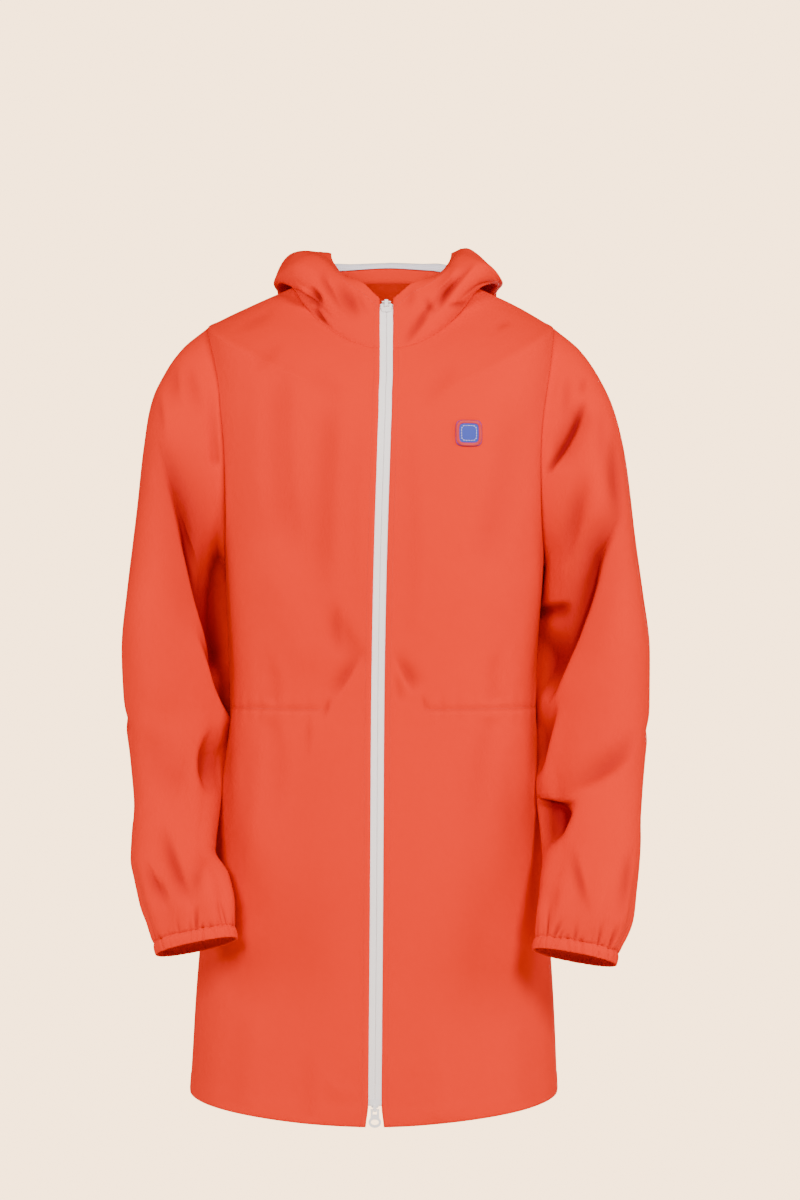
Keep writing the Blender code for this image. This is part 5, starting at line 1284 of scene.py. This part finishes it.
# %% Hood
HOOD_ROWS = 120
HOOD_FRONT_COLUMNS = 56
HOOD_CENTRE_FROM = 5 / 16  # of the half circle behind the shoulders, where the centre panel starts
CENTRE_RADIUS = 0.07
half_turn = np.linspace(0, 1, BACK_COLUMNS + 1)
climb = np.linspace(0, 1, HOOD_ROWS + 1)
start = hood_zip_angle(climb)[:, None]
before = start + np.linspace(0, 1, HOOD_FRONT_COLUMNS + 1)[:-1] * (QUARTER - start)
behind = QUARTER + half_turn * math.pi + 0 * start
hood_angle = np.concatenate([before, behind, 2 * math.pi - before[:, ::-1]], axis=1)
hood_climb = np.broadcast_to(climb[:, None], hood_angle.shape)
left_seam = HOOD_FRONT_COLUMNS + int(round(HOOD_CENTRE_FROM * BACK_COLUMNS))
right_seam = hood_angle.shape[1] - 1 - left_seam
HOOD_SPANS = {"hood_side_left": (0, left_seam, ("last_column",), ("first_column",)),
              "hood_centre": (left_seam, right_seam, ("first_column", "last_column"), ()),
              "hood_side_right": (right_seam, hood_angle.shape[1] - 1, ("first_column",),
                                  ("last_column",))}
half_gap = 0.5 * SEAM_GAP / CENTRE_RADIUS
for name, (first, last, seams, folds) in HOOD_SPANS.items():
    span = hood_angle[:, first:last + 1].copy()
    span[:, 0] += half_gap if first > 0 else 0.0
    span[:, -1] -= half_gap if last < hood_angle.shape[1] - 1 else 0.0
    grid, painted_shade = hood(span, hood_climb[:, first:last + 1])
    outward = grid_normals(grid)
    if (outward * normals(hood_form, span, hood_climb[:, first:last + 1])).sum() < 0:
        outward = -outward
    grid = sew(grid, outward, seams=(*seams, "first_row"), folds=folds, flat_neck=True)
    grid = sew(grid, outward, folds=("last_row",), fold_wide=12 * MM, fold_high=0.5 * MM)
    GRIDS[name] = (grid, outward)
    PIECES[name] = shell("cloth_" + name, grid, outward, CLOTH_THICK, COTTON, painted_shade=painted_shade)
    print(name, "points", grid.shape[:2], "area", round(cloth_area(grid), 3))

# %% Lining
LINING_FROM, LINING_TRIM = 10, 7  # rows above the neck seam and columns beside the zip left bare
LINING_IN = 2.5 * MM
grid, _ = hood(hood_angle, hood_climb)
outward = normals(hood_form, hood_angle, hood_climb)
rows, columns = slice(LINING_FROM, None, 2), slice(LINING_TRIM, -LINING_TRIM, 2)
grid, outward = (grid - outward * LINING_IN)[rows, columns], outward[rows, columns]
PIECES["hood_lining"] = shell("lining_hood", grid, outward, 0.6 * MM, MESH_LILAC)
GRIDS["hood_lining"] = (grid, outward)
print("lining area", round(cloth_area(grid), 3))

# %% [markdown]
# ## The zip's tapes
#
# The zip is a reversed coil: its smooth tapes face out and their coil lies inside, so the front
# shows two flat white strips that meet in a fine line. Each strip rolls down a little where it
# meets the other.

# %% Tapes
TAPE_TOP_CLIMB = 0.91
TAPE_DEPTH = 1.5 * MM  # below the cloth beside it
TAPE_ACROSS = np.array([0.15, 0.35, 0.7, 1.5, 2.6, 3.1, 3.6, 5.0, 7.3, 10.0, 13.0]) * MM
TAPE_SINK = np.array([0.75, 0.35, 0.12, 0.0, 0.0, 0.12, 0.0, 0.0, 0.0, 0.0, 0.0]) * MM


def tape_grid(side):
    """A tape's points from the top of the zip to its end, and its normals."""
    levels = np.linspace(TAPE_TOP_CLIMB, 0.0, 34)[:-1]
    along = np.linspace(0.0, TAPE_END_FALL, 310)
    across = side * TAPE_ACROSS
    grid_angle = np.arcsin(across / HOOD[0][1]) + 0 * levels[:, None]
    top = hood_form(grid_angle, np.broadcast_to(levels[:, None], grid_angle.shape))
    deep = read(COAT, COAT_COLUMNS, "front", along)[:, None]
    grid_angle = np.arcsin(across / deep)
    rest = coat(grid_angle, np.broadcast_to(along[:, None], grid_angle.shape))
    grid = np.concatenate([top, rest])
    outward = grid_normals(grid)
    outward = outward if outward[:, :, 1].sum() < 0 else -outward
    return grid - outward * (TAPE_DEPTH + TAPE_SINK[None, :, None]), outward


for hand, side in (("right", -1), ("left", 1)):
    grid, outward = tape_grid(side)
    GRIDS["zip_tape_" + hand] = (grid, outward)
    PIECES["zip_tape_" + hand] = shell("tape_" + hand, grid, outward, 0.8 * MM, TAPE_WHITE)
    print("tape", hand, "points", grid.shape[:2])

# %% [markdown]
# ## Stitches, satin edges and the coil
#
# Sewing repeats one small shape along a line, so Geometry Nodes lay it: the line is a mesh of
# edges whose points carry the cloth's normal, the tree resamples it at one spacing and sets a
# short, plump length of thread at every point. With no slant it is a lockstitch, with a quarter
# turn it is a satin edge or the wires of a zip's coil.

# %% The thread tree
def add_input(tree, name, kind, value=None):
    socket = tree.interface.new_socket(name=name, in_out="INPUT", socket_type=kind)
    if value is not None:
        socket.default_value = value
    return socket


def make_thread_tree():
    """Geometry Nodes that lay short threads along a mesh line."""
    tree = bpy.data.node_groups.new("threads along a line", "GeometryNodeTree")
    add_input(tree, "Geometry", "NodeSocketGeometry")
    add_input(tree, "Spacing", "NodeSocketFloat", 3 * MM)
    add_input(tree, "Length", "NodeSocketFloat", 2.4 * MM)
    add_input(tree, "Thickness", "NodeSocketFloat", 0.4 * MM)
    add_input(tree, "Slant", "NodeSocketFloat", 0.0)
    add_input(tree, "Thread", "NodeSocketMaterial")
    tree.interface.new_socket(name="Geometry", in_out="OUTPUT", socket_type="NodeSocketGeometry")
    given = add_node(tree, "NodeGroupInput").outputs
    curve = add_node(tree, "GeometryNodeMeshToCurve", links={"Mesh": given["Geometry"]})
    even = add_node(tree, "GeometryNodeResampleCurve", {"mode": "LENGTH"},
                    {"Curve": curve.outputs["Curve"], "Length": given["Spacing"]})
    tangent = add_node(tree, "GeometryNodeInputTangent")
    facing = add_node(tree, "GeometryNodeInputNamedAttribute",
                      {"data_type": "FLOAT_VECTOR", "Name": "facing"})
    first = add_node(tree, "FunctionNodeAlignRotationToVector", {"axis": "X"},
                     {"Vector": tangent.outputs["Tangent"]})
    second = add_node(tree, "FunctionNodeAlignRotationToVector", {"axis": "Z", "pivot_axis": "X"},
                      {"Rotation": first.outputs["Rotation"],
                       "Vector": facing.outputs["Attribute"]})
    ball = add_node(tree, "GeometryNodeMeshUVSphere", {"Segments": 6, "Rings": 4, "Radius": 0.5})
    size = add_node(tree, "ShaderNodeCombineXYZ",
                    links={"X": given["Length"], "Y": given["Thickness"], "Z": given["Thickness"]})
    slant = add_node(tree, "ShaderNodeCombineXYZ", links={"Z": given["Slant"]})
    long = add_node(tree, "GeometryNodeTransform", links={
        "Geometry": ball.outputs["Mesh"], "Scale": size.outputs["Vector"]})
    turned = add_node(tree, "GeometryNodeTransform", links={
        "Geometry": long.outputs["Geometry"], "Rotation": slant.outputs["Vector"]})
    laid = add_node(tree, "GeometryNodeInstanceOnPoints", links={
        "Points": even.outputs["Curve"], "Instance": turned.outputs["Geometry"],
        "Rotation": second.outputs["Rotation"]})
    real = add_node(tree, "GeometryNodeRealizeInstances",
                    links={"Geometry": laid.outputs["Instances"]})
    smooth = add_node(tree, "GeometryNodeSetShadeSmooth",
                      links={"Geometry": real.outputs["Geometry"]})
    dyed = add_node(tree, "GeometryNodeSetMaterial", links={
        "Geometry": smooth.outputs["Geometry"], "Material": given["Thread"]})
    add_node(tree, "NodeGroupOutput", links={"Geometry": dyed.outputs["Geometry"]})
    return tree


THREAD_TREE = make_thread_tree()


def lay_threads(name, lines, spacing, length, thickness, material, slant=0.0):
    """One piece of threads along several lines, each an array of points and one of normals."""
    mesh = bpy.data.meshes.new(name + "_line")
    starts = np.cumsum([0] + [len(at) for at, _ in lines])
    edges = [(s + k, s + k + 1) for s, (at, _) in zip(starts, lines) for k in range(len(at) - 1)]
    mesh.from_pydata(np.concatenate([at for at, _ in lines]).tolist(), edges, [])
    facing = mesh.attributes.new("facing", "FLOAT_VECTOR", "POINT")
    facing.data.foreach_set("vector", np.concatenate([out for _, out in lines]).ravel())
    piece = bpy.data.objects.new(name, mesh)
    bpy.context.scene.collection.objects.link(piece)
    values = {"Spacing": spacing, "Length": length, "Thickness": thickness, "Slant": slant,
              "Thread": material}
    laying = piece.modifiers.new("threads", "NODES")
    laying.node_group = THREAD_TREE
    for socket in THREAD_TREE.interface.items_tree:
        if socket.in_out == "INPUT" and socket.name in values:
            laying[socket.identifier] = values[socket.name]
    view = bpy.context.evaluated_depsgraph_get()
    plain = bpy.data.meshes.new_from_object(piece.evaluated_get(view))
    piece.modifiers.clear()
    piece.data = plain
    plain.name = name
    print(name, "triangles", sum(len(p.vertices) - 2 for p in plain.polygons))
    return piece


def line_beside(name, edge, away, lift=0.05 * MM, first=0, last=None):
    """The line that keeps one distance from an edge of a piece's grid, with its normals."""
    grid, outward = GRIDS[name]
    far = edge_distance(grid, edge)
    if edge in ("first_row", "last_row"):
        grid, outward, far = (np.swapaxes(v, 0, 1) for v in (grid, outward, far))
    if edge in ("last_row", "last_column"):
        grid, outward, far = (np.flip(v, 1) for v in (grid, outward, far))
    at, out = [], []
    for row in range(first, len(grid) if last is None else last):
        at.append([np.interp(away, far[row], grid[row][:, k]) for k in range(3)])
        out.append([np.interp(away, far[row], outward[row][:, k]) for k in range(3)])
    at, out = np.array(at), unit(np.array(out))
    return at + out * lift, out


print("thread tree nodes:", len(THREAD_TREE.nodes))

# %% Topstitching
STITCH = dict(spacing=3.2 * MM, length=2.7 * MM, thickness=0.45 * MM, material=THREAD_ORANGE)
ZIP_STITCH = 6.0 * MM  # from the folded edge
RIM_STITCH = 12 * MM
STITCHES = {
    "stitch_zip_right": [line_beside("front_right", "first_column", ZIP_STITCH),
                         line_beside("hood_side_right", "last_column", ZIP_STITCH)],
    "stitch_zip_left": [line_beside("front_left", "first_column", ZIP_STITCH),
                        line_beside("hood_side_left", "first_column", ZIP_STITCH)],
    "stitch_hood_rim": [line_beside(name, "last_row", RIM_STITCH)
                        for name in ("hood_side_left", "hood_centre", "hood_side_right")],
}
STITCHED = {name: lay_threads(name, lines, **STITCH) for name, lines in STITCHES.items()}

# %% [markdown]
# The waist seam is sewn through from the outside, so its stitches lie in the groove. They start
# where the casing ends on each front and run round the back.

# %% Waist seam
def waist_line(name):
    """The waist seam's line across one panel, as far as the casing goes."""
    grid, outward = GRIDS[name]
    row = int(np.argmin(np.abs(falls - CASING_FALL)))
    at, out = grid[row], outward[row]
    x = at[:, 0]
    kept = (name == "back") | (x < CASING_FRONT_X[0]) | (x > CASING_FRONT_X[1])
    return (at + out * 0.05 * MM)[kept], out[kept]


STITCHED["stitch_waist"] = lay_threads(
    "stitch_waist", [waist_line(n) for n in ("front_right", "front_left", "back")], **STITCH)

# %% Cuff seams
CUFF_STITCH = dict(STITCH, spacing=2.8 * MM, length=2.2 * MM)


def closed_line(line):
    at, out = line
    return np.concatenate([at, at[:1]]), np.concatenate([out, out[:1]])


for hand in ("right", "left"):
    name = "stitch_cuff_" + hand
    STITCHED[name] = lay_threads(
        name, [closed_line(line_beside("cuff_" + hand, "first_row", 2.6 * MM))], **CUFF_STITCH)

# %% Zip coil
COIL_PITCH = 1.5 * MM
COIL_WIRE = 0.8 * MM


def coil_line(side):
    """Where one tape's coil lies, on the inner side of the tape at its edge."""
    grid, outward = GRIDS["zip_tape_" + ("left" if side > 0 else "right")]
    at, out = grid[:, 3], outward[:, 3]
    shift = COIL_PITCH / 2 if side > 0 else 0.0
    down = unit(np.gradient(at, axis=0))
    return at - out * 1.35 * MM + down * shift, -out


COILS = {name: lay_threads(name, [coil_line(side)], COIL_PITCH, 2.9 * MM, COIL_WIRE,
                           THREAD_WHITE, slant=QUARTER)
         for name, side in (("coil_right", -1), ("coil_left", 1))}

# %% [markdown]
# ## The chest patch
#
# A small woven patch is sewn to the wearer's left chest: blue twill with a coral satin edge and
# one row of plain white stitches inside it. It is made from the front's own surface moved out,
# so it curves with the chest.

# %% Patch
PATCH_AT = (0.0903, -0.1644)
PATCH_SIZE = 28.0 * MM
PATCH_LIFT = 1.5 * MM  # its face stands this far off the front
PATCH_ROUND = 4.5  # exponent of its outline
PATCH_RINGS = 12
PATCH_TURNS = 96
front_grid_points, front_outward = GRIDS["front_left"]


def on_front(x, z):
    """The front's point and normal behind each x, z, by distance in the front view."""
    flat = front_grid_points.reshape(-1, 3)
    out = front_outward.reshape(-1, 3)
    gap = (flat[None, :, 0] - x[:, None]) ** 2 + (flat[None, :, 2] - z[:, None]) ** 2
    nearest = np.argpartition(gap, 12, axis=1)[:, :12]
    weight = 1 / (np.take_along_axis(gap, nearest, 1) + 1e-7)
    weight = weight / weight.sum(axis=1, keepdims=True)
    y = (weight * flat[nearest, 1]).sum(axis=1)
    return points(x, y, z), unit((weight[..., None] * out[nearest]).sum(axis=1))


def patch_ring(share):
    """Points and normals of the patch's outline, drawn in to a share of its size."""
    turn = np.linspace(0, 2 * math.pi, PATCH_TURNS, endpoint=False)
    reach = (np.abs(np.cos(turn)) ** PATCH_ROUND
             + np.abs(np.sin(turn)) ** PATCH_ROUND) ** (-1 / PATCH_ROUND)
    reach = 0.5 * PATCH_SIZE * share * reach
    return on_front(PATCH_AT[0] + reach * np.cos(turn), PATCH_AT[1] + reach * np.sin(turn))


def make_patch():
    """The patch's twill: a crowned face, a rounded edge and a back."""
    rings = []
    for share in np.linspace(0.0, 1.0, PATCH_RINGS + 1)[1:]:
        at, out = patch_ring(share)
        rings.append((at, out, PATCH_LIFT - 0.45 * MM * share**8))
    for share, lift in ((1.0, 0.7 * MM), (0.97, 0.35 * MM), (0.5, 0.35 * MM)):
        at, out = patch_ring(share)
        rings.append((at, out, lift))
    bm = bmesh.new()
    uv_layer = bm.loops.layers.uv.new("cloth")
    middle, normal = on_front(np.array([PATCH_AT[0]]), np.array([PATCH_AT[1]]))
    loops = [[bm.verts.new(p) for p in at + out * lift] for at, out, lift in rings]
    top = bm.verts.new(middle[0] + normal[0] * PATCH_LIFT)
    bottom = bm.verts.new(middle[0] + normal[0] * 0.35 * MM)
    for k in range(PATCH_TURNS):
        j = (k + 1) % PATCH_TURNS
        bm.faces.new((top, loops[0][k], loops[0][j]))
        bm.faces.new((bottom, loops[-1][j], loops[-1][k]))
        for one, two in zip(loops, loops[1:]):
            bm.faces.new((one[k], two[k], two[j], one[j]))
    for face in bm.faces:
        face.smooth = True
        for loop in face.loops:
            loop[uv_layer].uv = (loop.vert.co.x, loop.vert.co.z)
    bmesh.ops.recalc_face_normals(bm, faces=bm.faces)
    mesh = bpy.data.meshes.new("patch_twill")
    bm.to_mesh(mesh)
    bm.free()
    mesh.materials.append(TWILL_BLUE)
    piece = bpy.data.objects.new("patch_twill", mesh)
    bpy.context.scene.collection.objects.link(piece)
    return piece


PIECES["patch"] = make_patch()


def patch_line(share, lift):
    at, out = patch_ring(share)
    return closed_line((at + out * lift, out))


PATCH_THREADS = [
    lay_threads("patch_edge", [patch_line(0.86, 1.55 * MM)], 0.46 * MM, 4.4 * MM, 0.7 * MM,
                THREAD_CORAL, slant=QUARTER),
    lay_threads("patch_stitches", [patch_line(0.56, PATCH_LIFT + 0.1 * MM)], 2.8 * MM, 2.0 * MM,
                0.6 * MM, THREAD_WHITE),
]

# %% [markdown]
# ## Sliders and pulls
#
# The hard pieces are right as they are in the frame. They get white baked enamel, and a small
# bevel catches the light on their edges.

# %% Enamelled metal
HARD = ("slider_upper", "slider_lower", "pull_upper", "pull_lower")
for name in HARD:
    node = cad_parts[name]
    node.data.materials.clear()
    node.data.materials.append(ENAMEL)
    bevel = node.modifiers.new("worn edges", "BEVEL")
    bevel.width = 0.22 * MM
    bevel.segments = 2
    bevel.limit_method = "ANGLE"
    bevel.angle_limit = math.radians(50)
print("hard pieces:", HARD)

# %% [markdown]
# ## Everything in its place
#
# Each shell stands for its solid and rides on the coat's body, and so do the threads.

# %% Replace and ride
SOLIDS = {"sleeve_" + hand: ["sleeve_%s_%s" % (hand, part) for part in ("upper", "lower")]
          for hand in ("right", "left")}
for name, piece in PIECES.items():
    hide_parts(*SOLIDS.get(name, [name]))
    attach(piece, "garment")
for threads, slot in ((STITCHED.values(), "cloth"), (COILS.values(), "tape"),
                      (PATCH_THREADS, "patch")):
    for piece in threads:
        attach(piece, "garment")

# %% The pieces' grids
for name in PIECES:
    if name == "patch":
        continue
    grid, _ = GRIDS[name]

# %% Sizes
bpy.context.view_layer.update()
shown = [*PIECES.values(), *STITCHED.values(), *COILS.values(), *PATCH_THREADS]
print("triangles:", sum(sum(len(p.vertices) - 2 for p in o.data.polygons) for o in shown))
